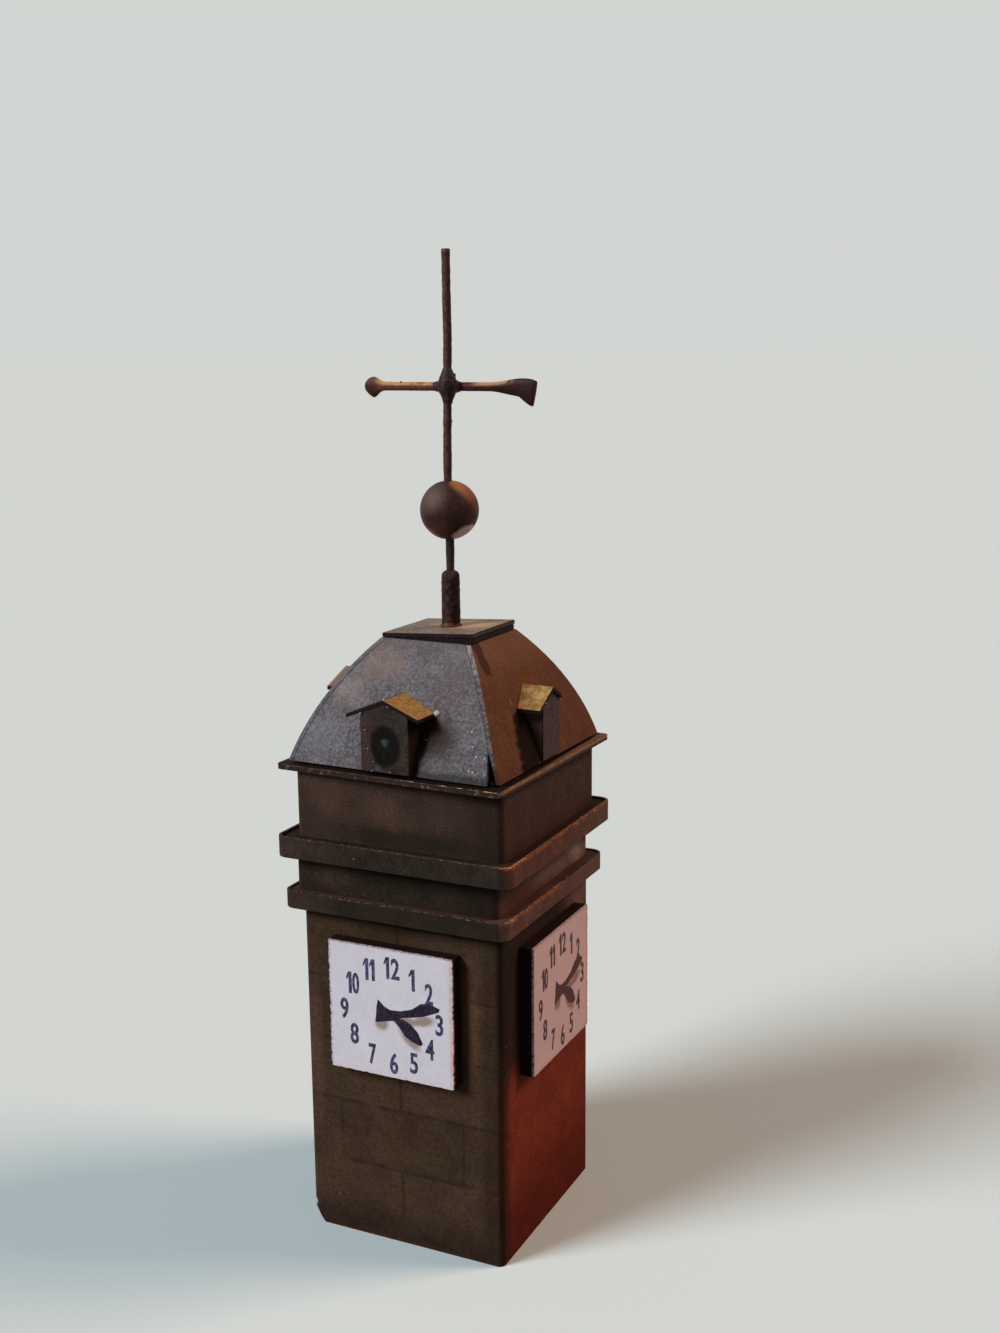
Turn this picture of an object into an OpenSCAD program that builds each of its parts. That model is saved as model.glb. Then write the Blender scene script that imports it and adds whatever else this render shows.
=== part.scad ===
// Card model of a square clock turret: a folded card shaft with a dial block on each face,
// two ledges with paper strips round them, a curved hipped roof with dormers, and a wire cross.
// Millimetres, +Z up, the front dial faces -Y, origin on the floor under the shaft's middle.

/* [Card] */
// Thickness of the folded card
card_t = 0.3; // [0.2:0.05:0.45]
// Outer radius of the folded corners
fold_r = 0.5; // [0.5:0.05:1]
// Gap that the glue leaves where one piece fits round or against another
glue_gap = 0.03; // [0.02:0.01:0.06]
// Width of the glue tab inside a folded tube
tab_w = 2.6; // [2:0.1:4]

/* [Shaft] */
// Width of the square shaft across its faces
shaft_w = 15.5; // [13.5:0.1:17.5]
// Height of the shaft from the floor to the lower ledge
shaft_h = 24.65; // [22.9:0.05:40]
// How high the front left fold is worn at its foot
worn_h = 1.6; // [0.5:0.1:3]
// How deep that wear goes in at the floor, across the fold
worn_in = 0.5; // [0.2:0.05:0.6]

/* [Dials] */
// Width of a dial and of the block behind it
dial_w = 9.8; // [7:0.1:12]
// Height of a dial and of the block behind it
dial_h = 9.5; // [7:0.1:9.6]
// Height of the dial's middle above the floor
dial_z = 18.05; // [6:0.05:18.4]
// Thickness of the card block behind a dial
dial_block_t = 0.95; // [0.4:0.05:1.5]
// Thickness of the printed dial
dial_face_t = 0.15; // [0.1:0.05:0.3]
// How far the front dial sits to the right of the middle of its wall
front_dial_shift = -0.2; // [-0.8:0.1:0.8]
// How far the right-hand dial sits towards the back from the middle of its wall
right_dial_shift = 0.1; // [-0.8:0.1:0.8]

/* [Ledges] */
// How far the lower ledge stands out past the shaft, over its paper strip
lower_ledge_out = 0.98; // [0.85:0.01:2.4]
// How far the lower ledge sits to the right of the middle, as glued by hand
lower_ledge_shift = -0.1; // [-0.3:0.05:0.3]
// Thickness of the lower ledge's card
lower_plate_t = 1.1; // [0.8:0.1:2]
// Height of the paper strip round the lower ledge
lower_strip_h = 1.25; // [1.2:0.05:2.4]
// How far the upper ledge stands out past the shaft, over its paper strip
upper_ledge_out = 1.35; // [1.2:0.01:2.6]
// Thickness of the upper ledge's card
upper_plate_t = 1.2; // [0.8:0.1:2]
// Height of the paper strip round the upper ledge
upper_strip_h = 1.5; // [1.3:0.05:2.4]
// Thickness of the paper strips
strip_t = 0.25; // [0.15:0.05:0.4]
// Outer radius of the strips where they turn the corners
strip_r = 0.9; // [0.5:0.05:1.5]

/* [Boxes] */
// How far the box between the ledges stands out past the shaft
middle_out = 0.15; // [0:0.01:0.4]
// Height of the box between the two ledges
middle_h = 2.8; // [2:0.05:5]
// How far that box sits to the right of the middle, as glued by hand
middle_shift = -0.25; // [-0.4:0.05:0.4]
// How far the box under the roof stands out past the shaft
upper_out = 0.25; // [0:0.01:0.5]
// Height of the box under the roof
upper_h = 4.85; // [3:0.05:8]
// How far it sits to the right of the middle
upper_shift = 0.1; // [-0.3:0.05:0.3]

/* [Roof] */
// How far the thin cornice plate stands out past the shaft
cornice_out = 1.05; // [0.8:0.05:2]
// Thickness of the cornice plate
cornice_t = 0.4; // [0.25:0.05:0.8]
// Outer radius of the cornice plate's worn corners
cornice_r = 0.35; // [0.1:0.05:0.8]
// Thickness of the former that the roof stands round
former_t = 0.35; // [0.25:0.05:0.7]
// How far the roof's foot stands out past the shaft
roof_foot_out = 0.41; // [0.2:0.01:0.6]
// Width across the roof at its top, but for what its right and back panels add
roof_top_w = 6.7; // [5:0.1:6.8]
// How much further out than the others the top of the right-hand panel stands
right_top_out = 0.45; // [0:0.05:0.6]
// How much further out the top of the back panel stands
back_top_out = 0.15; // [0:0.05:0.3]
// Height of the roof from its foot to the cap plate
roof_h = 8.25; // [7.6:0.05:12]
// How far the curved panels stand out past a straight slope
roof_bulge = 0.56; // [0.3:0.02:0.9]
// Thickness of the roof panels
panel_t = 0.3; // [0.2:0.05:0.4]
// Gap between the roof's foot and the cornice plate
foot_gap = 0.15; // [0.1:0.05:0.25]
// How far the roof and cornice are turned on the tower, as glued by hand
roof_turn = -1.85; // [-3:0.05:3]
// Width of the sliver missing at the foot of the front panel's right edge
missing_w = 0.73; // [0.4:0.01:1.2]
// The same at the foot of the right-hand panel's front edge
right_missing_w = 0.55; // [0.1:0.01:1.2]
// Height of the sliver missing where those two edges meet
missing_h = 2.1; // [1:0.1:6]

/* [Dormers] */
// Width of a dormer
dormer_w = 3.7; // [3:0.1:4.6]
// Width of the narrower dormer on the right-hand panel
right_dormer_w = 2.6; // [2.4:0.1:4.6]
// How far the right-hand dormer sits towards the front of the tower
right_dormer_shift = 0.1; // [-1:0.1:1]
// Height of a dormer's side walls
dormer_h = 4; // [3:0.1:4.4]
// Height of a dormer's foot above the roof's foot
dormer_lift = 0.15; // [0.05:0.05:0.6]
// How far the front and back dormers stand out past the roof's foot
dormer_out = 0.55; // [0.3:0.05:1.2]
// How far the dormers on the sides stand out past the roof's foot
side_dormer_out = 0.15; // [0.1:0.05:1.2]
// Slope of a dormer's roof in degrees
dormer_pitch = 22; // [15:1:35]
// The same for the narrower dormer on the right
right_dormer_pitch = 30; // [15:1:35]
// Thickness of a dormer's roof
dormer_roof_t = 0.25; // [0.15:0.05:0.4]
// How far a dormer's roof overhangs its side walls
eave = 0.7; // [0.3:0.02:1]
// The same on the left of the front dormer, where it was cut long
long_eave = 1.1; // [0.3:0.02:1.6]
// The same on the right of the front dormer
front_eave = 0.84; // [0.3:0.02:1.2]
// How far the right-hand dormer's roof overhangs towards the front of the tower
near_eave = 0.9; // [0.3:0.02:1.2]
// How far it overhangs towards the back
far_eave = 0.04; // [0.02:0.01:1]
// How far the roofs of the dormers on the sides overhang their fronts
verge = 0.2; // [0.1:0.05:0.5]
// The same for the front and back dormers
front_verge = 0.05; // [0.05:0.05:0.5]

/* [Cap and finial] */
// How far the cap plate overhangs the roof's top on the left and right together
cap_over = 0.5; // [0.1:0.1:2]
// Depth of the cap plate from front to back, as a share of its width
cap_share = 0.89; // [0.8:0.01:1]
// Thickness of the cap plate
cap_t = 0.3; // [0.2:0.05:0.6]
// How far the cap plate sits to the right of the shaft's middle
cap_shift = 0.29; // [-0.2:0.01:0.3]
// Slope of the cap plate in degrees, up to the right, as glued by hand
cap_tilt = 3.4; // [1.5:0.1:5]
// How far the finial stands to the right of the shaft's middle
finial_shift = 0.44; // [-0.5:0.02:0.5]
// Diameter of the wire
wire_d = 0.62; // [0.4:0.02:0.9]
// Diameter of the sleeve on the cap plate
sleeve_d = 1.35; // [1.3:0.05:2]
// Height of the sleeve
sleeve_h = 3.9; // [2:0.1:6]
// Radius of the rounding round the sleeve's top
sleeve_r = 0.3; // [0.1:0.05:0.3]
// Height of the ball's middle above the cap plate
ball_rise = 8.15; // [8:0.05:12]
// Diameter of the ball
ball_d = 4.15; // [3.2:0.05:5]
// Height of the ball between its flattened ends
ball_h = 4; // [2.9:0.02:4.1]
// Height of the cross arm above the cap plate
arm_rise = 16.6; // [14:0.05:20]
// Height of the wire's top above the cap plate
rod_rise = 25.8; // [20:0.1:30]
// Length of the cross arm to the left of the rod
arm_left = 6.85; // [4:0.05:8]
// Length of the cross arm to the right of the rod
arm_right = 6.45; // [5:0.05:8]
// Thickness of the arm's hammered ends
hammered_t = 0.4; // [0.25:0.01:0.5]
// Height of the hammered blob at the left end
blob_h = 1.5; // [1:0.05:2]
// Length of that blob
blob_l = 1.35; // [1:0.05:2]
// Length of the flare hammered at the right end
flare_l = 3.3; // [2:0.1:3.6]
// How far the flare bulges above the arm's axis
flare_rise = 0.58; // [0.4:0.02:1]
// How far the flare's tip hangs below the arm's axis
flare_drop = 1.3; // [0.8:0.05:2]
// How far the solder runs up and down the rod from the arm's axis
solder_l = 1.05; // [0.75:0.05:1.4]
// Radius of the solder round the rod
solder_r = 0.72; // [0.55:0.02:0.74]
// How far the solder runs along the arm each way from its middle
arm_solder_l = 1; // [0.65:0.05:1.4]
// Radius of the solder round the arm
arm_solder_r = 0.62; // [0.5:0.02:0.64]
// How far the solder on the arm sits to the right of the rod
arm_solder_shift = -0.25; // [-0.4:0.05:0.4]

/* [Hidden] */
$fn = 64;

// The pieces that stand on all four sides are modelled on the front and turned round to the side named
function turn_of(side) = side == "front" ? 0 : side == "right" ? 90 : side == "back" ? 180 : 270;
function dial_moved(side) = side == "front" ? front_dial_shift : side == "right" ? right_dial_shift : 0;
function dormer_wide(side) = side == "right" ? right_dormer_w : dormer_w;
function dormer_slope(side) = tan(side == "right" ? right_dormer_pitch : dormer_pitch);
function dormer_moved(side) = side == "right" ? -right_dormer_shift : 0;
function dormer_past(side) = side == "front" || side == "back" ? dormer_out : side_dormer_out;
function left_eave(side) = side == "front" ? long_eave : side == "right" ? near_eave : eave;
function right_eave(side) = side == "front" ? front_eave : side == "right" ? far_eave : eave;
function verge_of(side) = side == "front" || side == "back" ? front_verge : verge;
function top_out(side) = side == "right" ? right_top_out : side == "back" ? back_top_out : 0;

// Widths of what stands on the shaft
lower_ledge_w = shaft_w + 2 * lower_ledge_out;
middle_w = shaft_w + 2 * middle_out;
upper_ledge_w = shaft_w + 2 * upper_ledge_out;
upper_w = shaft_w + 2 * upper_out;
cornice_w = shaft_w + 2 * cornice_out;

// Heights of what stands on what, from the floor up
lower_plate_z = shaft_h;
middle_z = lower_plate_z + lower_plate_t;
upper_plate_z = middle_z + middle_h;
upper_z = upper_plate_z + upper_plate_t;
cornice_z = upper_z + upper_h;
former_z = cornice_z + cornice_t;
foot_z = former_z + foot_gap;
cap_z = foot_z + roof_h;

// A roof panel's outer face is an arc, seen from the side: u is the distance out from the axis
foot_u = shaft_w / 2 + roof_foot_out;
top_u = roof_top_w / 2;
function run(side) = foot_u - top_u - top_out(side);
function chord(side) = norm([run(side), roof_h]);
function arc_r(side) = (chord(side) * chord(side) / 4 + roof_bulge * roof_bulge) / (2 * roof_bulge);
function arc_u(side) = foot_u - run(side) / 2 - (arc_r(side) - roof_bulge) * roof_h / chord(side);
function arc_z(side) = foot_z + roof_h / 2 - (arc_r(side) - roof_bulge) * run(side) / chord(side);
// Distance out from the axis at height z of an arc that lies inside the panel's face by an inset
function arc_at(side, z, inset) =
    arc_u(side) + sqrt(pow(arc_r(side) - inset, 2) - pow(z - arc_z(side), 2));
former_w = 2 * (arc_at("front", former_z + former_t, panel_t) - glue_gap);
// How far in from the face of the panel that laps over it a panel's edge stays
tucked_in = panel_t + glue_gap;

dormer_z = foot_z + dormer_lift;
bore_d = wire_d + 2 * glue_gap;
rod_foot = 0.5;
// The cap plate rests on its left edge, and the sleeve on the higher side of its hole in the plate
cap_w = roof_top_w + cap_over;
cap_depth = cap_w * cap_share;
cap_left = cap_shift - cap_w / 2;
bed_inset = 0.05;
bed_start = 3 * glue_gap / tan(cap_tilt);
sleeve_reach = finial_shift + sleeve_d / 2 - cap_left;
cap_top = cap_z + 2 * glue_gap + cap_t / cos(cap_tilt) + sleeve_reach * tan(cap_tilt);
// Share of the flare's length, from its root, in which the round wire dies away
flare_wire_share = 0.3;
// Outlines of the arm's hammered ends: shares of the length from the arm's end, and shares of the
// height, which for the flare is its rise above the axis or its drop below it
BLOB = [[0, 0.08], [0.26, 0.43], [0.52, 0.45], [0.93, 0.24], [1, -0.22], [0.45, -0.55], [0.02, -0.18]];
FLARE_TOP = [[1, 0.53], [0.66, 0.75], [0.39, 1], [0.17, 0.93], [0, 0.57]];
FLARE_FOOT = [[0.02, 0.4], [0.1, 1], [0.24, 0.85], [0.41, 0.5], [0.63, 0.42], [0.85, 0.31], [1, 0.24]];
// Clear of everything, for cutting and for lengths that a cut trims
past = 1;
wide = 2 * cornice_w;

card_brown = [0.24, 0.19, 0.17];
strip_brown = [0.3, 0.23, 0.2];
roof_grey = [0.42, 0.4, 0.42];
roof_brown = [0.42, 0.28, 0.2];
edge_dark = [0.13, 0.1, 0.1];
paper_white = [0.84, 0.84, 0.87];
cap_tan = [0.5, 0.42, 0.34];
dormer_gold = [0.6, 0.43, 0.2];
wire_brown = [0.3, 0.2, 0.17];
ball_copper = [0.36, 0.22, 0.17];

// A square with rounded corners, centred
module rounded_square(w, r) {
    square([w, w - 2 * r], center = true);
    square([w - 2 * r, w], center = true);
    for (x = [-1, 1], y = [-1, 1])
        translate([x * (w / 2 - r), y * (w / 2 - r)]) circle(r);
}

// A square tube folded from card, with its glue tab inside the back left corner
module folded_tube(w, h) {
    linear_extrude(h) {
        difference() {
            rounded_square(w, fold_r);
            rounded_square(w - 2 * card_t, fold_r - card_t);
        }
        tab_start = -w / 2 + fold_r;
        translate([tab_start, w / 2 - 2 * card_t]) square([tab_w, card_t + glue_gap]);
    }
}

// Puts a piece modelled on the front on another side
module on_side(side) {
    rotate(turn_of(side)) children();
}

// The turn that the roof and the cornice share
module turned() {
    rotate(roof_turn) children();
}

// A plate of card, cut small enough for the strip that wraps round it
module ledge_plate(w, t) {
    side = w - 2 * (strip_t + glue_gap);
    linear_extrude(t) rounded_square(side, strip_r - strip_t - glue_gap);
}

// A strip of paper wrapped round a ledge, standing proud of the card above and below
module ledge_strip(w, h) {
    linear_extrude(h) difference() {
        rounded_square(w, strip_r);
        rounded_square(w - 2 * strip_t, strip_r - strip_t);
    }
}

// Extrudes an outline drawn as (distance out, height) along the front wall
module along_wall(length) {
    rotate([90, 0, -90]) linear_extrude(length, center = true) children();
}

// Extrudes an outline drawn as (across, height) out from the axis, from u_in to u_out
module outwards(u_in, u_out) {
    translate([0, -u_in, 0]) rotate([90, 0, 0]) linear_extrude(u_out - u_in) children();
}

// All that lies inside the curved face of one side's panel, less an inset
module under_panel(side, inset) {
    on_side(side) along_wall(wide)
        translate([arc_u(side), arc_z(side)]) circle(arc_r(side) - inset, $fn = 256);
}

// What is worn off the front left fold at its foot: all outside an arc that leaves the fold upright
module worn_off() {
    fold_reach = shaft_w / sqrt(2) - fold_r * (sqrt(2) - 1);
    r = (worn_h * worn_h + worn_in * worn_in) / (2 * worn_in);
    rotate([90, 0, 45]) linear_extrude(wide, center = true) translate([-fold_reach, 0]) difference() {
        translate([-past, -past]) square([past + worn_in, past + worn_h]);
        translate([r, worn_h]) circle(r);
    }
}

module shaft() {
    color(card_brown) difference() {
        folded_tube(shaft_w, shaft_h);
        worn_off();
    }
}

module dial_block(side) {
    color(edge_dark) on_side(side)
        translate([dial_moved(side) - dial_w / 2, -shaft_w / 2 - dial_block_t, dial_z - dial_h / 2])
            cube([dial_w, dial_block_t, dial_h]);
}

module dial_face(side) {
    out = shaft_w / 2 + dial_block_t + dial_face_t;
    color(paper_white) on_side(side)
        translate([dial_moved(side) - dial_w / 2, -out, dial_z - dial_h / 2])
            cube([dial_w, dial_face_t, dial_h]);
}

module lower_ledge_plate() {
    color(strip_brown) translate([lower_ledge_shift, 0, lower_plate_z])
        ledge_plate(lower_ledge_w, lower_plate_t);
}

module lower_ledge_strip() {
    z = lower_plate_z - (lower_strip_h - lower_plate_t) / 2;
    color(strip_brown) translate([lower_ledge_shift, 0, z]) ledge_strip(lower_ledge_w, lower_strip_h);
}

module middle_box() {
    color(card_brown) translate([middle_shift, 0, middle_z]) folded_tube(middle_w, middle_h);
}

module upper_ledge_plate() {
    color(strip_brown) translate([0, 0, upper_plate_z]) ledge_plate(upper_ledge_w, upper_plate_t);
}

module upper_ledge_strip() {
    z = upper_plate_z - (upper_strip_h - upper_plate_t) / 2;
    color(strip_brown) translate([0, 0, z]) ledge_strip(upper_ledge_w, upper_strip_h);
}

module upper_box() {
    color(card_brown) translate([upper_shift, 0, upper_z]) folded_tube(upper_w, upper_h);
}

module cornice_plate() {
    color(strip_brown) turned() translate([0, 0, cornice_z])
        linear_extrude(cornice_t) rounded_square(cornice_w, cornice_r);
}

module roof_former() {
    color(edge_dark) turned() translate([0, 0, former_z]) linear_extrude(former_t)
        square(former_w, center = true);
}

// One curved panel of card: those on the right and left lap over the edges of the two between them
module curved_panel(side) {
    laps = side == "left" || side == "right";
    inset = laps ? 0 : tucked_in;
    intersection() {
        on_side(side) along_wall(wide) intersection() {
            translate([arc_u(side), arc_z(side)]) difference() {
                circle(arc_r(side), $fn = 256);
                circle(arc_r(side) - panel_t, $fn = 256);
            }
            translate([0, foot_z]) square([wide, roof_h]);
        }
        under_panel(laps ? "front" : "left", inset);
        under_panel(laps ? "back" : "right", inset);
    }
}

// The sliver that was cut away where the front panel's right edge meets the right-hand panel's front
// edge, as it looks from one of them
module missing_sliver(side) {
    front = side == "front";
    sliver_top = foot_z + missing_h;
    hip_u = arc_at(front ? "right" : "front", sliver_top, front ? tucked_in : 0);
    cut_u = foot_u - (front ? missing_w : right_missing_w);
    lean = (hip_u - cut_u) / missing_h;
    // the cut's line runs on past the panel at both ends
    low = [cut_u - past * lean, foot_z - past];
    high = [hip_u + past * lean, sliver_top + past];
    on_side(side) mirror([front ? 0 : 1, 0, 0]) outwards(top_u, wide)
        polygon([low, [wide, foot_z - past], [wide, sliver_top + past], high]);
}

module roof_panel(side) {
    color(side == "front" ? roof_grey : roof_brown) turned() difference() {
        curved_panel(side);
        if (side == "front" || side == "right") missing_sliver(side);
    }
}

// A dormer's outline from its foot to its ridge
module gable_outline(w, slope) {
    ridge = dormer_h + w / 2 * slope;
    polygon([[-w / 2, 0], [w / 2, 0], [w / 2, dormer_h], [0, ridge], [-w / 2, dormer_h]]);
}

// An open-topped card box with a gabled front, scribed to the curve of the roof behind it
module dormer_body(side) {
    w = dormer_wide(side);
    front_u = foot_u + dormer_past(side);
    color(card_brown) turned() difference() {
        on_side(side) translate([dormer_moved(side), 0, dormer_z]) {
            difference() {
                outwards(top_u, front_u) gable_outline(w, dormer_slope(side));
                outwards(top_u - past, front_u - card_t)
                    translate([-w / 2 + card_t, card_t]) square([w - 2 * card_t, 2 * dormer_h]);
            }
        }
        under_panel(side, -glue_gap);
    }
}

// A folded sheet of card that lies on the gable's two slopes
module dormer_roof(side) {
    w = dormer_wide(side);
    slope = dormer_slope(side);
    ridge = dormer_h + w / 2 * slope;
    left = w / 2 + left_eave(side);
    right = w / 2 + right_eave(side);
    thick = dormer_roof_t * sqrt(1 + slope * slope);
    front_u = foot_u + dormer_past(side) + verge_of(side);
    color(dormer_gold) turned() difference() {
        on_side(side) translate([dormer_moved(side), 0, dormer_z]) outwards(top_u, front_u)
            polygon([[-left, ridge - left * slope], [0, ridge], [right, ridge - right * slope],
                     [right, ridge - right * slope + thick], [0, ridge + thick],
                     [-left, ridge - left * slope + thick]]);
        under_panel(side, -glue_gap);
    }
}

// The thick bead of dark glue that fills the wedge between the roof's top and the raised cap plate
module cap_bed() {
    left = cap_left + bed_start;
    right = cap_left + cap_w * cos(cap_tilt) - bed_inset;
    under = cap_z + glue_gap;
    rise = tan(cap_tilt);
    color(edge_dark) difference() {
        turned() rotate([90, 0, 0]) linear_extrude(cap_depth - 2 * bed_inset, center = true)
            polygon([[left, under], [right, under], [right, under + (right - cap_left) * rise - glue_gap],
                     [left, under + (left - cap_left) * rise - glue_gap]]);
        translate([finial_shift, 0, cap_z]) cylinder(d = bore_d, h = 2 * past);
    }
}

module cap_plate() {
    color(cap_tan) difference() {
        turned() translate([cap_left, -cap_depth / 2, cap_z + glue_gap]) rotate([0, -cap_tilt, 0])
            cube([cap_w, cap_depth, cap_t]);
        translate([finial_shift, 0, cap_z]) cylinder(d = bore_d, h = 2 * past);
    }
}

// A short tube over the wire, rounded at its top
module finial_sleeve() {
    wall = (sleeve_d - bore_d) / 2;
    color(wire_brown) translate([finial_shift, 0, cap_top]) rotate_extrude() translate([bore_d / 2, 0]) {
        square([wall, sleeve_h - sleeve_r]);
        square([wall - sleeve_r, sleeve_h]);
        translate([wall - sleeve_r, sleeve_h - sleeve_r]) circle(sleeve_r);
    }
}

module finial_rod() {
    color(wire_brown) translate([finial_shift, 0, cap_z - rod_foot])
        cylinder(d = wire_d, h = cap_top + rod_rise - cap_z + rod_foot);
}

// A bead with a bore and two small flats, threaded on the wire
module finial_ball() {
    color(ball_copper) translate([finial_shift, 0, cap_top + ball_rise]) difference() {
        intersection() {
            sphere(d = ball_d);
            cube([2 * ball_d, 2 * ball_d, ball_h], center = true);
        }
        cylinder(d = bore_d, h = 2 * ball_d, center = true);
    }
}

// Places what follows on the cross arm's axis, which passes close behind the rod
module at_arm() {
    translate([finial_shift, wire_d + glue_gap, cap_top + arm_rise]) children();
}

module cross_arm() {
    color(wire_brown) at_arm() {
        rotate([0, -90, 0]) cylinder(d = wire_d, h = arm_left - blob_l / 2);
        rotate([0, 90, 0]) cylinder(d = wire_d, h = arm_right - flare_l * (1 - flare_wire_share));
        rotate([90, 0, 0]) linear_extrude(hammered_t, center = true) {
            polygon([for (p = BLOB) [p[0] * blob_l - arm_left, p[1] * blob_h]]);
            polygon(concat([for (p = FLARE_TOP) [arm_right - p[0] * flare_l, p[1] * flare_rise]],
                           [for (p = FLARE_FOOT) [arm_right - p[0] * flare_l, -p[1] * flare_drop]]));
        }
    }
}

// A collar of solder round one wire, with a hollow fillet at each end
module solder_collar(length, r) {
    rim_r = bore_d / 2 + glue_gap;
    rotate_extrude() difference() {
        translate([0, -length]) square([r, 2 * length]);
        for (end = [-1, 1])
            translate([rim_r + r, end * length]) circle(r);
    }
}

module solder_joint() {
    to_rod = [0, -wire_d - glue_gap, 0];
    color(wire_brown) at_arm() difference() {
        union() {
            translate(to_rod) solder_collar(solder_l, solder_r);
            translate([arm_solder_shift, 0, 0]) rotate([0, 90, 0]) solder_collar(arm_solder_l, arm_solder_r);
        }
        translate(to_rod) cylinder(d = bore_d, h = 4 * solder_l, center = true);
        rotate([0, 90, 0]) cylinder(d = bore_d, h = 4 * solder_l, center = true);
    }
}

shaft();
dial_block("front");  // dial_block_front
dial_block("right");  // dial_block_right
dial_block("back");  // dial_block_back
dial_block("left");  // dial_block_left
dial_face("front");  // dial_face_front
dial_face("right");  // dial_face_right
dial_face("back");  // dial_face_back
dial_face("left");  // dial_face_left
lower_ledge_plate();
lower_ledge_strip();
middle_box();
upper_ledge_plate();
upper_ledge_strip();
upper_box();
cornice_plate();
roof_former();
roof_panel("front");  // roof_panel_front
roof_panel("right");  // roof_panel_right
roof_panel("back");  // roof_panel_back
roof_panel("left");  // roof_panel_left
cap_bed();
cap_plate();
dormer_body("front");  // dormer_body_front
dormer_body("right");  // dormer_body_right
dormer_body("back");  // dormer_body_back
dormer_body("left");  // dormer_body_left
dormer_roof("front");  // dormer_roof_front
dormer_roof("right");  // dormer_roof_right
dormer_roof("back");  // dormer_roof_back
dormer_roof("left");  // dormer_roof_left
finial_sleeve();
finial_rod();
finial_ball();
cross_arm();
solder_joint();
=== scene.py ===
import random
from contextlib import contextmanager
from math import cos, degrees, radians, sin

import bpy
from mathutils import Matrix, Vector


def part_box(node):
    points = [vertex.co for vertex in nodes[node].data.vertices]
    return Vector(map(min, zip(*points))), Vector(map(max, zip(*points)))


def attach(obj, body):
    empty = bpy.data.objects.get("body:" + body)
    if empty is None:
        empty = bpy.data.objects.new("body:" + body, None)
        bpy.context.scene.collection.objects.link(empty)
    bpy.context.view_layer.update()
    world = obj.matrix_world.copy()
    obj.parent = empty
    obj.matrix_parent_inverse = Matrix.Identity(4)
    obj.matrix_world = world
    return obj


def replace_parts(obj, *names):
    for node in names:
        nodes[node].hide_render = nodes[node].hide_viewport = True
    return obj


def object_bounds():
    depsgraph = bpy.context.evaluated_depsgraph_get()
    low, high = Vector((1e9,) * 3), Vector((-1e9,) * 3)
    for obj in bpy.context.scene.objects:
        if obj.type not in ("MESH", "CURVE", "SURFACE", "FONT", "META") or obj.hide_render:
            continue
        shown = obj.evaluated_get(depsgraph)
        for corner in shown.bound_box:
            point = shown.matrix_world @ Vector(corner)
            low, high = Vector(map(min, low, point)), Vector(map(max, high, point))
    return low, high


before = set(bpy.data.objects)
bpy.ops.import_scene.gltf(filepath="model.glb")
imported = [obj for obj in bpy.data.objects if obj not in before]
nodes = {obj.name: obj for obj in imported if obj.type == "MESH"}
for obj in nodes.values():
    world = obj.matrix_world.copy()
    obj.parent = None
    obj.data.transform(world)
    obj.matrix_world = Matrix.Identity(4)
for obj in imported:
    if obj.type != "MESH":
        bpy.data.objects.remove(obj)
cad_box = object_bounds()

MM = 0.001
# Points nearer than this are one point
WELD = 0.002 * MM
SIDES = {"front": 0, "right": 90, "back": 180, "left": 270}
# How far the roof and its dormers are turned on the box below, in degrees
ROOF_TURN = -1.85


# ---------------------------------------- camera, lamps and floor

# The photo's view, fitted to the corners of the model: mm and degrees
CAMERA_PLACE = (51.496, -99.073, 64.149)
CAMERA_TURN, CAMERA_DIP, CAMERA_ROLL = 25.506, 11.743, -0.529
SENSOR_HEIGHT = 24
LENS = SENSOR_HEIGHT * 1600 / 1333
# What lights the model and what is seen. Colours of four numbers are straight.
SKY_LIGHT, SKY_SHOWN = (0.12, 0.118, 0.12, 1), (210, 213, 210)
FLOOR_LIGHT, FLOOR_SHOWN = (0.2, 0.18, 0.175, 1), (0.476, 0.57, 0.585, 1)
# The floor's radius, and how far it lies below the model's foot, in mm
FLOOR_RADIUS, FLOOR_DROP = 6000, 0.02


def put(name, data):
    made = bpy.data.objects.new(name, data)
    bpy.context.scene.collection.objects.link(made)
    return made


def set_camera():
    data = bpy.data.cameras.new("camera")
    camera = put("camera", data)
    data.sensor_fit = "VERTICAL"
    data.sensor_height = SENSOR_HEIGHT
    data.lens = LENS
    data.clip_start = MM
    turned = Matrix.Rotation(radians(CAMERA_TURN), 4, "Z")
    tipped = Matrix.Rotation(radians(90 - CAMERA_DIP), 4, "X")
    rolled = Matrix.Rotation(radians(CAMERA_ROLL), 4, "Z")
    camera.matrix_world = moved(*CAMERA_PLACE) @ turned @ tipped @ rolled
    bpy.context.scene.camera = camera


def lamp(name, towards, strength, colour, spread):
    data = bpy.data.lights.new(name, "SUN")
    data.energy = strength
    data.color = colour
    data.angle = radians(spread)
    put(name, data).rotation_euler = Vector(towards).to_track_quat("Z", "Y").to_euler()


def set_studio():
    lamp("window light", (-0.52, -0.66, 0.54), 4.0, (0.98, 0.985, 1.0), 24)
    lamp("warm lamp", (0.63, 0.38, 0.68), 2.6, (1.0, 0.66, 0.5), 22)
    world = bpy.data.worlds.new("studio")
    bpy.context.scene.world = world
    world.use_nodes = True
    sky = Nodes(world.node_tree, "Background")
    sky.link(sky.blend(sky.looked_at(), SKY_LIGHT, SKY_SHOWN), "Color")
    paper = Finish("floor paper")
    paper.colour = paper.blend(paper.looked_at(), FLOOR_LIGHT, FLOOR_SHOWN)
    floor = disc(96, FLOOR_RADIUS)
    floor.name = "floor"
    move_mesh(floor, 0, 0, -FLOOR_DROP)
    floor.data.materials.append(paper.surface(1, 0))


# ---------------------------------------- how a finish is made

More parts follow.
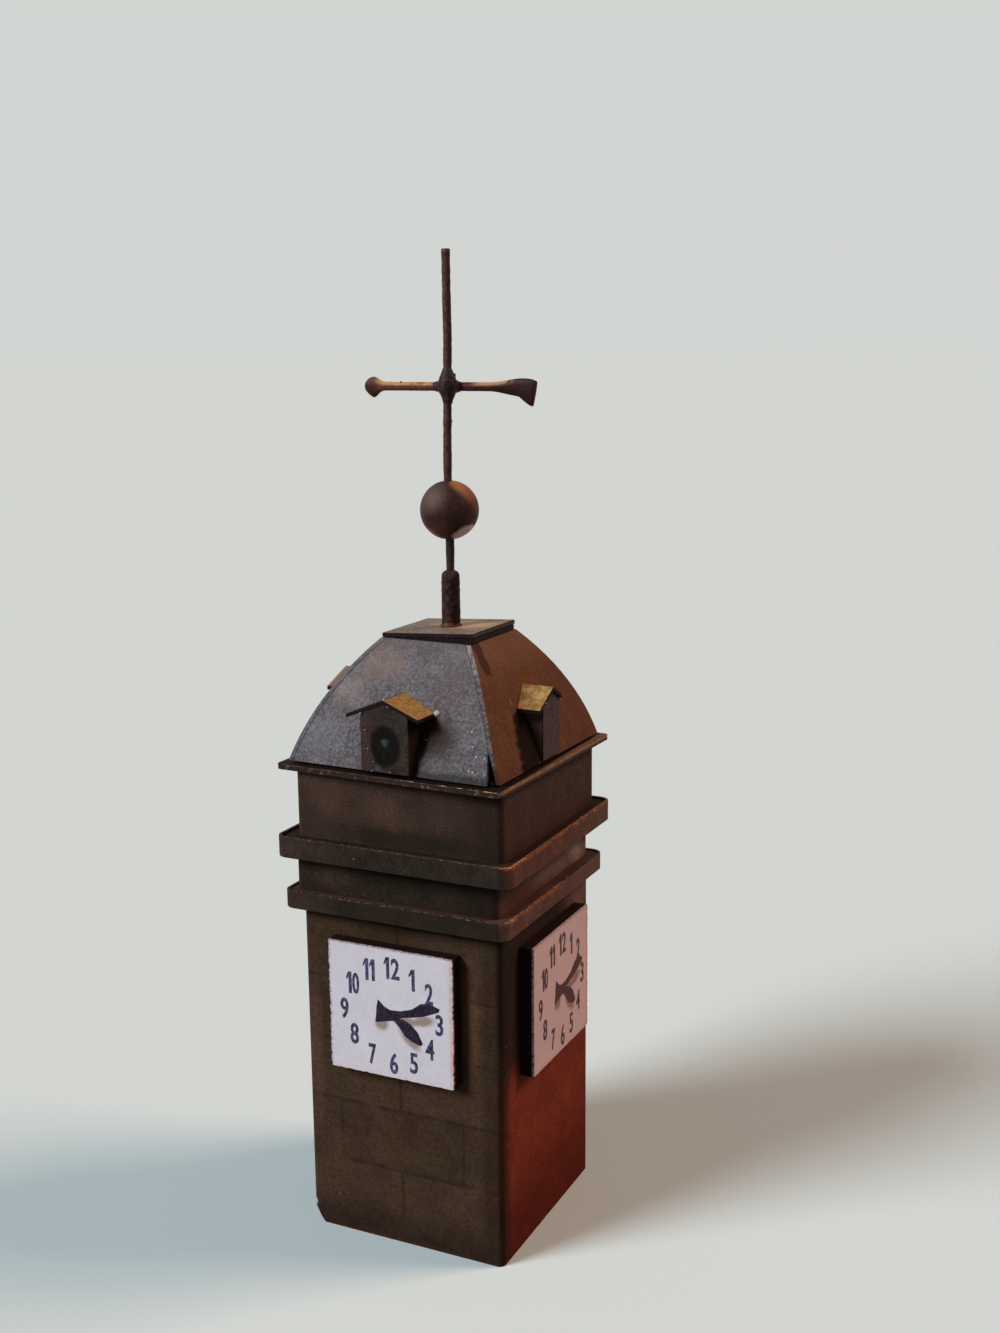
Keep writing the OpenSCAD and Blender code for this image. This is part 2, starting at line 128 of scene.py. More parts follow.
def paint(tone):
    """Makes a tone straight: three numbers from 0 to 255, as it is seen. Anything else is left."""
    if not isinstance(tone, tuple) or len(tone) != 3:
        return tone
    seen = [value / 255 for value in tone]
    return (*[value / 12.92 if value <= 0.04045 else ((value + 0.055) / 1.055) ** 2.4
              for value in seen], 1.0)


class Nodes:
    """Adds shader nodes to one tree, whose last node is given."""

    def __init__(self, tree, last):
        self.tree = tree
        self.sockets = tree.nodes[last].inputs

    def add(self, kind, inputs, output=0, **settings):
        """Adds a node and hands over one of its outputs."""
        made = self.tree.nodes.new("ShaderNode" + kind)
        for key, value in settings.items():
            setattr(made, key, value)
        for key, value in inputs.items():
            if isinstance(value, bpy.types.NodeSocket):
                self.tree.links.new(value, made.inputs[key])
            else:
                made.inputs[key].default_value = value
        return made.outputs[output]

    def link(self, output, socket):
        self.tree.links.new(output, self.sockets[socket])

    def reckon(self, operation, values):
        whole = values[0]
        for value in values[1:]:
            whole = self.add("Math", {0: whole, 1: value}, operation=operation)
        return whole

    def times(self, *values):
        return self.reckon("MULTIPLY", values)

    def either(self, *masks):
        return self.reckon("MAXIMUM", masks)

    def blend(self, share, under, over, mode="MIX"):
        """A colour over another at this share. Each is a tone, straight or a node's output."""
        return self.add("Mix", {0: share, 6: paint(under), 7: paint(over)}, 2,
                        data_type="RGBA", blend_type=mode)

    def looked_at(self):
        """1 where it is seen, straight or in a gloss, and 0 where it only lights the model."""
        path = self.add("LightPath", {}).node.outputs
        return self.either(path["Is Camera Ray"], path["Is Glossy Ray"])


class Finish(Nodes):
    """A finish whose colour is laid on layer by layer. Places and sizes are in mm."""

    def __init__(self, name):
        self.material = bpy.data.materials.new(name)
        self.material.use_nodes = True
        super().__init__(self.material.node_tree, "Principled BSDF")
        self.place = self.add("TexCoord", {}, "Object")
        self.colour = None

    def on_side(self):
        """Where a point lies on its own side of the tower, as if that side were the front."""
        return self.add("Attribute", {}, "Vector", attribute_name="on_side")

    def split(self, vector, axis):
        return self.add("SeparateXYZ", {0: vector}, axis)

    def fade(self, value, start, end):
        """0 at start and 1 at end, which may be the smaller number."""
        return self.add("MapRange", {"Value": value, "From Min": start, "From Max": end},
                        interpolation_type="SMOOTHSTEP")

    def along(self, axis, start, end, at=None):
        """0 at start and 1 at end, along an axis."""
        return self.fade(self.split(at or self.place, axis), start * MM, end * MM)

    def facing(self, axis, start, end):
        """How far a face looks along an axis, from 0 at start to 1 at end."""
        return self.fade(self.split(self.add("NewGeometry", {}, "Normal"), axis), start, end)

    def front(self):
        return self.facing("Y", -0.3, -0.8)

    def right(self):
        return self.facing("X", 0.25, 0.85)

    def mottle(self, size, detail=3.0, at=None):
        """A cloudy pattern with lumps of about this size."""
        return self.add("TexNoise", {"Vector": at or self.place, "Scale": 1 / (size * MM),
                                     "Detail": detail, "Roughness": 0.6})

    def clouds(self, size, start, end, detail=3.0, at=None):
        """0 to 1 where the cloudy pattern, mostly from 0.3 to 0.7, goes from start to end."""
        return self.fade(self.mottle(size, detail, at), start, end)

    def swing(self, size, low, high):
        """A number that goes cloudily between low and high."""
        return self.add("MapRange", {"Value": self.mottle(size), "From Min": 0.3, "From Max": 0.7,
                                     "To Min": low, "To Max": high})

    def patch(self, centre, reach, soft=0.6, ragged=0.0, turn=(0, 0, 0), at=None):
        """1 in the middle of an ellipsoid, fading to 0 at its edge, which strays by ragged mm."""
        spot = at or self.place
        if ragged:
            cloud = self.add("TexNoise", {"Vector": spot, "Scale": 1400.0, "Detail": 3.0}, 1)
            cloud = self.add("VectorMath", {0: cloud, 1: (0.5, 0.5, 0.5)}, operation="SUBTRACT")
            cloud = self.add("VectorMath", {0: cloud, "Scale": ragged * MM}, operation="SCALE")
            spot = self.add("VectorMath", {0: spot, 1: cloud})
        local = self.add("Mapping", {"Vector": spot, "Location": [c * MM for c in centre],
                                     "Rotation": [radians(t) for t in turn],
                                     "Scale": [r * MM for r in reach]}, vector_type="TEXTURE")
        reached = self.add("VectorMath", {0: local}, "Value", operation="LENGTH")
        return self.fade(reached, 1.0, 1.0 - soft)

    def stroke(self, start, end, wide, soft, ragged):
        """A mark drawn from one point to another, which fades to its edge and its ends."""
        run = Vector(end) - Vector(start)
        turn = [degrees(angle) for angle in run.to_track_quat("Z", "Y").to_euler()]
        middle = (Vector(start) + Vector(end)) / 2
        return self.patch(middle, (wide, wide, run.length * 0.62), soft, ragged, turn)

    def specks(self, spacing, size, keep):
        """Small round specks in about this spacing; keep is the share of them that shows."""
        cells = self.add("TexVoronoi", {"Vector": self.place, "Scale": 1 / (spacing * MM)},
                         "Distance")
        spot = self.fade(cells, size / spacing, 0.5 * size / spacing)
        chance = self.split(cells.node.outputs["Color"], 0)
        return self.times(spot, self.reckon("LESS_THAN", (chance, keep)))

    def grained(self, low, high, size=0.3):
        """Fine grain between two tones."""
        return self.blend(self.clouds(size, 0.34, 0.68, 4.0), low, high)

    def painted_side_light(self, front, right):
        """Painted light: cool on the front and left, and painted browner towards the right and back
        for the warm light that falls there.
        """
        back = self.times(self.facing("Y", 0.25, 0.85), 0.6)
        return self.blend(back, self.blend(self.right(), front, right), right)

    def lay(self, mask, over, mode="MIX"):
        self.colour = self.blend(mask, self.colour, over, mode)

    def stain(self, share, tone, *masks):
        """Lays a tone over the colour where all the masks show, at this share of its strength."""
        self.lay(self.times(*masks, share), tone)

    def blot(self, share, tone, centre, reach, soft=0.6, ragged=0.0):
        self.stain(share, tone, self.patch(centre, reach, soft, ragged))

    def uneven(self, *depths):
        """Lightens and darkens the colour in clouds, each of a size and by up to a share."""
        for size, depth in depths:
            shade = self.swing(size, 1 - depth, 1 + depth)
            grey = self.add("CombineXYZ", {0: shade, 1: shade, 2: shade})
            self.lay(1.0, grey, "MULTIPLY")

    def dust(self, spacing=1.1, size=0.05, keep=0.1, tone=(150, 142, 134)):
        self.lay(self.specks(spacing, size, keep), tone)

    def surface(self, rough, gloss, bump=0.0, bump_size=0.12, rough_cloud=0.0, metal=0.0):
        """Gives the colour its roughness, gloss and fine bumps, and hands over the material."""
        self.link(self.colour, "Base Color")
        self.sockets["Specular IOR Level"].default_value = gloss
        self.sockets["Metallic"].default_value = metal
        if rough_cloud:
            cloudy = self.swing(0.5, rough - rough_cloud, rough + rough_cloud)
            self.link(cloudy, "Roughness")
        else:
            self.sockets["Roughness"].default_value = rough
        if bump:
            raised = self.add("Bump", {"Height": self.mottle(bump_size, 4.0), "Strength": 0.5,
                                       "Distance": bump * MM})
            self.link(raised, "Normal")
        return self.material


# ---------------------------------------- finishes

def worn_edge(name, under, core, share, gloss=0.15):
    """The rubbed edge of a card: its colour broken by the paler core."""
    card = Finish(name)
    card.colour = card.blend(card.clouds(0.3, 0.62 - 0.3 * share, 0.78 - 0.3 * share), under, core)
    card.uneven((0.12, 0.25))
    return card.surface(0.6, gloss, 0.015)


def plain_card(name, tone):
    card = Finish(name)
    card.colour = tone
    card.uneven((0.2, 0.25), (1.4, 0.15))
    card.dust(keep=0.05)
    return card.surface(0.7, 0.02, 0.02)


def glue_finish(name, tone, gloss):
    glue = Finish(name)
    glue.colour = tone
    glue.uneven((0.2, 0.16))
    return glue.surface(0.4, gloss, 0.02)


def cladding(card):
    """The faint blocks printed on the walls, clearest on the front."""
    across = card.reckon("ADD", (card.split(card.place, 0), card.split(card.place, 1)))
    flat = card.add("CombineXYZ", {0: across, 1: card.split(card.place, 2)})
    shifted = card.add("Mapping", {"Vector": flat, "Location": (0.0079, 0.00368, 0)})
    blocks = card.add("TexBrick", {
        "Vector": shifted, "Scale": 1 / (9.83 * MM), "Mortar Size": 0.026, "Mortar Smooth": 1.0,
        "Brick Width": 1.0, "Row Height": 0.471, "Color1": (1, 1, 1, 1),
        "Color2": (0.7, 0.7, 0.66, 1), "Mortar": (0.5, 0.48, 0.44, 1)})
    share = card.times(card.clouds(3.0, 0.3, 0.52), card.along("Z", 1.6, 2.4),
                       card.facing("X", 0.95, 0.3), 0.9)
    card.lay(share, blocks, "MULTIPLY")


def shaft_finish():
    card = Finish("printed wall card")
    front, right = card.front(), card.right()
    # Painted light and shade on the right face: darker above z 15.5, darkest towards the front
    # under the ledge where its shadow falls, lighter towards the back there, and dark red towards
    # the foot
    above = card.times(right, card.along("Z", 21.4, 22.6))
    card.colour = card.painted_side_light((62, 46, 36), (104, 44, 30))
    card.stain(0.92, (36, 26, 22), right, card.along("Z", 12.5, 15.5))
    card.stain(0.9, (42, 31, 25), above, card.along("Y", 4.5, 0.5))
    card.stain(0.8, (104, 80, 70), above, card.along("Y", 1.5, 6.0))
    card.stain(0.8, (68, 19, 12), right, card.along("Z", 9.0, 1.5))
    cladding(card)
    # Painted shade in the front-right fold, on both faces
    fold = card.either(card.times(card.facing("X", 0.1, 0.6), card.along("Y", -5.9, -7.4)),
                       card.times(front, card.along("X", 5.9, 6.8), 0.62))
    card.stain(0.82, (27, 18, 14), fold)
    # Painted light: the wall right of the front dial is lightened where the dial block's shadow
    # falls
    card.blot(0.6, (98, 70, 52), (5.3, -7.9, 17.6), (0.9, 2, 6.4), 0.8, 0.4)
    card.stain(0.85, (38, 28, 22), front, card.along("Z", 3.6, 0.6))
    # Painted shadow: a dark greenish band on the front under the lower ledge
    card.blot(0.5, (24, 24, 16), (1, -7.9, 24.4), (9, 2, 1.6), 0.9, 0.9)
    card.blot(0.45, (92, 70, 62), (-7.0, -7.9, 14), (0.9, 2, 9), 0.9, 0.4)
    card.stain(0.4, (42, 44, 28), front, card.clouds(3.5, 0.48, 0.7))
    card.blot(0.35, (84, 30, 26), (0, -7.8, 0), (12, 0.6, 0.3), 0.8)
    card.blot(0.8, (200, 190, 180), (-7.5, -7.5, 1.5), (0.3, 0.3, 0.5), 0.5, 0.5)
    card.uneven((0.16, 0.32), (2.2, 0.18))
    card.dust()
    return card.surface(0.65, 0.03, 0.02, 0.2, 0.08)


def box_finish(name, front, right, blush, band_z):
    """A box's card, with lighter reddish blushes and, near band_z, painted shade in a dull green
    band.
    """
    card = Finish(name)
    card.colour = card.painted_side_light(front, right)
    for x, z, reach in blush:
        card.blot(0.38, (86, 64, 53), (x, -8, z), (reach, 1.5, reach * 0.75), 0.95, 1.6)
    # Painted shade: a dull green band near band_z
    card.blot(0.7, (24, 25, 17), (1, -8, band_z), (9.5, 1.5, 1.2), 0.8, 1.2)
    # Painted light: the front is lightened just under the cornice, where the cornice's shadow falls
    card.stain(0.6, (86, 66, 56), card.front(), card.along("Z", 33.9, 34.7))
    card.stain(0.55, (26, 19, 16), card.front(), card.along("X", 3.6, 7.3))
    # Painted light: a pale lit band at the far end of the right face, under the upper strip
    lit_band = card.either(card.patch((7.9, 5.4, 26.7), (1.0, 3.4, 1.6), 0.9, 0.4, (-20, 0, 0)),
                       card.times(card.patch((7.9, 1.5, 26.6), (1.0, 6.0, 1.4), 0.9, 0.4), 0.45))
    card.stain(0.9, (134, 116, 103), lit_band)
    card.uneven((0.16, 0.34), (1.8, 0.18))
    card.dust(keep=0.06)
    return card.surface(0.65, 0.03, 0.02, 0.2, 0.08)


def strip_finish(name, front, right, crest, ends):
    """The paper round a ledge whose top is at crest mm: rubbed there, with a painted highlight of
    warm light along the right side as far back as y = ends mm."""
    paper = Finish(name)
    paper.colour = paper.painted_side_light(front, right)
    side = paper.facing("X", 0.3, 0.7)
    lit_reach = paper.along("Y", ends + 0.4, ends - 0.4)
    paper.stain(0.5, (60, 46, 42), paper.front(), paper.along("X", -3.5, -7.5))
    paper.uneven((0.15, 0.34), (1.5, 0.24))
    paper.stain(0.45, (84, 70, 64), side, paper.along("Y", 1.0, 6.0))
    # Painted highlight: an orange line of warm light just under the top of the right side
    paper.stain(0.75, (154, 94, 60), side, lit_reach, paper.along("Z", crest - 0.3, crest - 0.06),
                paper.clouds(0.5, 0.4, 0.62))
    # Painted highlight: on the top faces the right edge is painted orange in the warm light;
    # elsewhere the top is rubbed pale
    rim = paper.times(paper.along("X", 8.1, 8.6), lit_reach)
    broken = paper.either(paper.clouds(0.22, 0.48, 0.62), paper.times(rim, 0.35))
    rubbed = paper.blend(broken, paper.colour, paper.blend(rim, (92, 84, 78), (172, 114, 72)))
    paper.lay(paper.facing("Z", 0.5, 0.9), rubbed)
    paper.dust(0.9, 0.06, 0.14)
    return paper.surface(0.65, 0.03, 0.02, 0.15, 0.08)


def rim_edge(name, front, right, ends):
    """A strip's rounded rims, rubbed pale, with a painted highlight of warm light along the right
    side as far back as y = ends mm and painted shade on the right rims beyond it.
    """
    paper = Finish(name)
    side = paper.along("X", 8.3, 8.7)
    # Painted highlight: the right rims are painted orange in the warm light, and painted darker
    # beyond y = ends mm, out of it
    over = paper.blend(side, (104, 92, 82), (186, 124, 80))
    unlit_behind = paper.times(side, paper.along("Y", ends - 0.4, ends + 0.4))
    over = paper.blend(unlit_behind, over, (70, 48, 44))
    broken = paper.times(paper.clouds(0.25, 0.54, 0.66), paper.facing("Z", 0.1, 0.5))
    paper.colour = paper.blend(broken, paper.blend(side, front, right), over)
    paper.uneven((0.12, 0.35))
    return paper.surface(0.6, 0.05, 0.015)


def cornice_finish():
    card = Finish("cornice card")
    side, top = card.along("X", 8.2, 8.5), card.facing("Z", 0.5, 0.9)
    low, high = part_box("cornice_plate")
    foot, head = low.z / MM, high.z / MM
    # Painted light: the right side is painted lit and golden in its upper half, shaded in its lower
    # half
    upper = card.along("Z", foot * 0.6 + head * 0.4, foot * 0.35 + head * 0.65)
    lit = card.blend(upper, (54, 31, 22), (114, 92, 72))
    card.colour = card.blend(side, (42, 33, 29), lit)
    card.stain(0.6, (124, 100, 84), card.clouds(0.4, 0.56, 0.7), card.front())
    card.stain(0.4, (134, 104, 74), side, card.clouds(0.5, 0.5, 0.7))
    # Painted shade on the top faces, with a painted highlight along the right edge
    edge = card.times(top, card.along("X", 8.35, 8.55))
    card.lay(top, card.blend(edge, (22, 15, 13), (106, 80, 58)))
    card.uneven((0.15, 0.3))
    card.dust(0.8, 0.08, 0.2)
    return card.surface(0.6, 0.04, 0.02)


def cornice_rim():
    """The cornice's rubbed edge: pale and broken towards the right of the front, partly as painted
    glints, and golden along the right side as a painted highlight of warm light."""
    card = Finish("rubbed cornice edge")
    side = card.along("X", 8.3, 8.7)
    front = card.blend(card.along("X", 0.0, 3.0), (84, 60, 50), (164, 138, 112))
    over = card.blend(side, front, (152, 122, 88))
    under = card.blend(side, (40, 29, 25), (94, 66, 46))
    broken = card.times(card.clouds(0.9, 0.44, 0.64), card.facing("Z", 0.1, 0.5))
    card.colour = card.blend(broken, under, over)
    card.uneven((0.12, 0.4))
    return card.surface(0.55, 0.06, 0.015)


def roof_silver_finish():
    # Painted reflection: the silver-grey stands partly for the sheen of the cool window light on
    # the front and left panels
    card = Finish("silvered roof card")
    card.colour = card.grained((66, 65, 68), (104, 101, 105), 0.2)
    card.stain(0.4, (102, 97, 100), card.along("Z", 39.5, 43.0))
    card.stain(0.4, (88, 66, 60), card.clouds(1.5, 0.48, 0.7))
    card.stain(0.3, (54, 60, 62), card.clouds(1.1, 0.5, 0.68, 1.0))
    drawn = card.add("Mapping", {"Vector": card.place, "Scale": (1, 1, 0.3)})
    card.stain(0.38, (38, 34, 37), card.clouds(0.42, 0.56, 0.68, 3.0, drawn))
    card.blot(0.55, (120, 102, 94), (-2.5, -4.9, 41.9), (2.8, 2.8, 2.0), 0.95, 1.2)
    card.blot(0.4, (80, 58, 57), (3.3, -5.6, 40.6), (2.0, 3.0, 2.2), 0.9, 1.2)
    card.blot(0.3, (112, 114, 122), (-6.2, -8.0, 37.3), (2.8, 3.0, 2.8), 0.9, 1.2)
    card.blot(0.45, (132, 120, 116), (-4.6, -5.8, 40.1), (2.2, 2.6, 1.6), 0.9, 1.0)
    card.uneven((0.12, 0.22), (1.6, 0.1))
    card.stain(0.3, (132, 132, 140), card.specks(0.45, 0.07, 0.35))
    # Bright specks near the right hip: rubbed card, partly painted glints
    card.stain(0.6, (190, 188, 194), card.specks(0.3, 0.09, 0.45), card.along("X", 5.0, 5.6))
    # Painted shadow: the soft shade of the front dormer on the panel to its right
    card.blot(0.97, (46, 29, 25), (3.0, -7.3, 37.75), (2.4, 2.8, 2.6), 0.95, 0.5)
    # Painted shade along the panel's foot, right of the middle
    card.stain(0.75, (36, 30, 27), card.along("Z", 35.8, 35.4), card.along("X", 0.5, 2.5))
    shade = card.either(card.patch((2.2, -6.9, 38.4), (0.95, 1.6, 0.95), 0.55, 0.2),
                        card.patch((1.8, -7.4, 37.2), (0.8, 1.6, 1.3), 0.5, 0.2),
                        card.patch((1.5, -8.0, 35.7), (0.55, 1.6, 1.5), 0.45, 0.2))
    card.stain(0.95, (24, 13, 12), shade)
    card.lay(card.facing("Z", -0.02, -0.3), (24, 20, 19))
    return card.surface(0.55, 0.05, 0.03, 0.25, 0.1)


def roof_brown_finish():
    card = Finish("brown roof card")
    card.colour = card.grained((82, 55, 39), (97, 65, 48), 0.25)
    card.stain(0.35, (84, 52, 48), card.along("Y", 0.0, 6.0))
    card.stain(0.6, (113, 85, 66), card.along("Z", 40.5, 43.0))
    crease = card.either(card.stroke((3.3, -2.62, 43.85), (4.5, -3.37, 42.4), 0.68, 0.45, 0.15),
                         card.stroke((4.1, -3.12, 42.9), (5.25, -3.8, 41.35), 0.66, 0.45, 0.15))
    card.stain(0.8, (48, 29, 27), crease)
    card.blot(0.5, (124, 60, 52), (5.25, -3.75, 41.35), (0.3, 0.3, 0.25), 0.8, 0.2)
    # the dormer's shadow, drawn wider and further forward towards the foot
    steps = ((-2.1, 38.3, 1.85, 0.95), (-2.3, 37.6, 1.95, 0.9), (-2.6, 36.9, 2.0, 0.8),
             (-2.8, 36.1, 2.0, 0.8), (-3.1, 35.4, 2.0, 0.7))
    shade = card.either(*[card.patch((7.3, y, z), (1.6, wide, high), 0.3, 0.1)
                          for y, z, wide, high in steps])
    card.stain(0.97, (22, 13, 10), shade)
    card.blot(0.6, (196, 108, 60), (6.35, -2.85, 39.6), (0.3, 0.1, 0.4), 0.7, 0.1)
    card.blot(0.4, (120, 54, 34), (6.3, 0.6, 40.4), (1.0, 1.8, 0.8), 0.9, 0.6)
    card.stain(0.5, (140, 96, 104), card.patch((7.1, 3.9, 38.4), (0.7, 1.0, 0.9), 0.5),
               card.specks(0.35, 0.1, 0.5))
    silver = card.blend(card.along("Z", 41.0, 42.5),
                        card.grained((60, 56, 57), (102, 98, 101), 0.25),
                        card.grained((82, 78, 79), (138, 133, 135), 0.25))
    pale = card.blend(card.along("Z", 36.0, 36.8), (60, 36, 28), silver)
    card.lay(card.facing("Y", -0.5, -0.8), pale)
    card.lay(card.facing("Z", -0.02, -0.3), (20, 14, 13))
    card.uneven((0.14, 0.22), (1.8, 0.1))
    return card.surface(0.65, 0.02, 0.02, 0.25, 0.08)


def dormer_finish():
    """The same card on each dormer, with a round window drawn on all fronts but the right one."""
    card = Finish("dormer card")
    here = card.on_side()
    card.colour = card.painted_side_light((45, 39, 34), (70, 62, 61))
    front = card.times(card.facing("Y", -0.5, -0.9), card.along("X", 6.0, 5.0))
    card.stain(0.6, (64, 50, 50), card.along("X", -0.2, -1.9, here), front)
    card.stain(0.4, (50, 47, 38), card.along("X", 0.7, 1.6, here), front)
    wall = card.times(card.along("Y", 0.1, 0.05, here), card.along("X", 6.0, 5.0))
    ring = card.patch((0.08, 0, 37.15), (1.36, 30, 1.64), 0.28, 0.3, at=here)
    pane = card.patch((0.08, 0, 37.22), (1.15, 30, 1.5), 0.6, 0.3, at=here)
    card.lay(card.times(ring, wall), card.blend(pane, (19, 15, 13), (17, 19, 17)))
    # Window marks: a greenish middle, a painted glint of light at its centre, and a bluish spot low
    # on the left
    for x, z, wide, high, tone, share in ((0.08, 37.35, 0.9, 1.0, (30, 36, 34), 0.22),
                                          (0.06, 37.42, 0.4, 0.4, (82, 98, 98), 0.45),
                                          (-0.6, 35.62, 0.5, 0.35, (64, 66, 92), 0.5)):
        card.stain(share, tone, card.patch((x, 0, z), (wide, 30, high), 0.9, 0.3, at=here), wall)
    card.uneven((0.14, 0.45), (0.7, 0.2))
    # Painted shade: the side walls are painted near black for the shade under the eaves; on the
    # right dormer, deeper in shade, they are painted lighter to offset it
    shaded_cheek = card.along("Y", 0.05, 0.12, here)
    card.stain(0.92, (33, 19, 16), shaded_cheek)
    card.stain(0.9, (80, 59, 54), shaded_cheek, card.along("X", 5.0, 6.0))
    card.dust(0.8, 0.05, 0.08)
    return card.surface(0.65, 0.02, 0.02, 0.15)


def dormer_roof_finish():
    """Ochre on top, with a pinkish front rim and dark edges."""
    card = Finish("ochre dormer roof card")
    here = card.on_side()
    card.colour = card.grained((110, 87, 46), (142, 112, 64), 0.3)
    card.blot(0.45, (134, 84, 56), (0.2, -8.0, 40.3), (0.9, 2.0, 0.9), 0.9, 0.8)
    tan = card.grained((118, 92, 52), (158, 132, 86), 0.5)
    card.lay(card.along("X", 5.5, 6.5), tan)
    card.blot(0.85, (206, 104, 48), (6.5, -2.3, 39.35), (0.7, 0.5, 0.5), 0.8, 0.3)
    card.lay(card.along("X", -5.0, -6.0), (106, 88, 79))
    left = card.times(card.along("X", 0.05, -0.05, here), card.along("X", 5.0, 4.0))
    card.lay(left, (46, 37, 36))
    front_rim = card.times(card.along("Y", 0.14, 0.08, here), card.along("X", 6.0, 5.0))
    card.lay(front_rim, (150, 104, 84))
    edge = card.blend(card.clouds(0.2, 0.45, 0.72), (20, 13, 12), (38, 27, 24))
    card.colour = card.blend(card.facing("Z", 0.55, 0.8), edge, card.colour)
    card.uneven((0.15, 0.2))
    card.dust(0.6, 0.06, 0.16, (205, 190, 155))
    return card.surface(0.6, 0.05, 0.02, 0.2)


def dial_finish():
    paper = Finish("dial paper")
    here = paper.on_side()
    paper.colour = (190, 189, 198)
    paper.uneven((0.3, 0.04), (2.5, 0.03))
    # painted shadow: the soft shadow the hands cast on the paper
    for x, z, wide, high, turn in ((-0.72, 17.25, 0.72, 0.75, 0), (1.1, 17.7, 1.3, 0.5, 0),
                                   (2.6, 17.95, 1.2, 0.5, -14), (1.5, 16.45, 1.4, 0.6, 43)):
        shade = paper.patch((x, 0, z), (wide, 1, high), 0.6, 0.25, (0, turn, 0), here)
        paper.stain(0.8, (124, 102, 86), shade)
    broken = paper.clouds(0.16, 0.42, 0.62)
    paper.stain(0.85, (104, 72, 88), paper.along("X", -4.62, -4.9, here), broken)
    paper.stain(0.7, (176, 128, 106), paper.along("X", 4.4, 4.85, here),
                paper.clouds(0.3, 0.3, 0.55))
    paper.stain(0.6, (196, 160, 160), paper.along("Z", 13.9, 13.35, here), broken)
    paper.stain(0.7, (132, 84, 84), paper.along("Z", 22.62, 22.8, here), broken)
    # Painted light: the right-facing dial paper is warmed for the warm light that falls on it
    warm = (0.98, 0.76, 0.7, 1)
    paper.lay(paper.facing("X", 0.5, 0.9), warm, "MULTIPLY")
    paper.dust(0.9, 0.035, 0.12, (120, 100, 100))
    return paper.surface(0.65, 0.04, 0.01, 0.15)


def ink_finish(name, low, high):
    ink = Finish(name)
    ink.colour = ink.grained(low, high, 0.16)
    # Painted light: ink on the right-facing dial is painted browner, warmed like the paper under it
    ink.stain(0.75, (86, 59, 60), ink.facing("X", 0.5, 0.9))
    return ink.surface(0.6, 0.05)


def cap_finish():
    card = Finish("cap card")
    card.colour = card.blend(card.facing("X", 0.3, 0.7), (26, 16, 21), (54, 38, 27))
    card.stain(0.7, (86, 74, 84), card.clouds(0.22, 0.6, 0.76))
    sides = card.colour
    card.colour = card.grained((84, 74, 64), (112, 99, 86), 0.28)
    card.blot(0.75, (170, 140, 112), (1.7, 0.8, 44.3), (3.0, 2.6, 1.2), 0.9, 0.8)
    card.blot(0.6, (156, 96, 66), (1.1, 0.2, 44.3), (1.2, 1.1, 1.0), 0.9, 0.6)
    card.blot(0.5, (170, 132, 90), (-1.1, 0.7, 44.3), (1.0, 0.8, 1.0), 0.8, 0.5)
    card.stain(0.5, (40, 32, 34), card.along("Y", -3.0, -3.2), card.clouds(0.2, 0.45, 0.6))
    card.colour = card.blend(card.facing("Z", 0.4, 0.8), sides, card.colour)
    card.uneven((0.15, 0.2))
    card.dust(0.8, 0.05, 0.12)
    return card.surface(0.55, 0.08, 0.02, 0.2)


def wire_finish(name, low, high, rust, rough, metal, gloss=0.1, low_dark=None):
    """Browned metal, darker on the side away from the window, and below low_dark mm."""
    wire = Finish(name)
    wire.colour = wire.grained(low, high)
    wire.stain(0.5, rust, wire.clouds(0.9, 0.5, 0.68))
    wire.stain(0.6, (26, 12, 13), wire.facing("X", 0.35, 0.9))
    if low_dark:
        wire.stain(0.6, (30, 23, 19), wire.along("Z", low_dark + 0.5, low_dark - 0.5))
    wire.uneven((0.12, 0.25))
    return wire.surface(rough, gloss, 0.035, 0.16, 0.08, metal)


def arm_finish():
    """The cross arm: coppery, with a painted golden highlight on top, a dark knob and a dark
    hammered blade.
    """
    wire = Finish("coppery wire")
    wire.colour = wire.grained((72, 40, 34), (108, 62, 50))
    wire.stain(0.75, (44, 13, 13), wire.along("X", 0.2, 1.0))
    wire.stain(0.85, (32, 14, 15), wire.along("X", 3.3, 4.3))
    # Painted highlight: golden on top of the arm, left of the joint and before the blade
    lit_stretch = wire.either(wire.along("X", -0.6, -1.4),
                       wire.times(wire.along("X", 1.8, 2.8), wire.along("X", 5.4, 4.6)))
    wire.stain(0.75, (176, 134, 88), wire.facing("Z", 0.1, 0.7), wire.clouds(0.8, 0.28, 0.42), lit_stretch)
    wire.stain(0.85, (45, 22, 19), wire.along("X", -5.2, -5.7))
    # Painted highlight: grey-white at the knob's left end
    wire.stain(0.55, (132, 116, 106), wire.along("X", -6.35, -6.75))
    wire.uneven((0.14, 0.25))
    return wire.surface(0.5, 0.1, 0.03, 0.16, 0.08, 0.1)


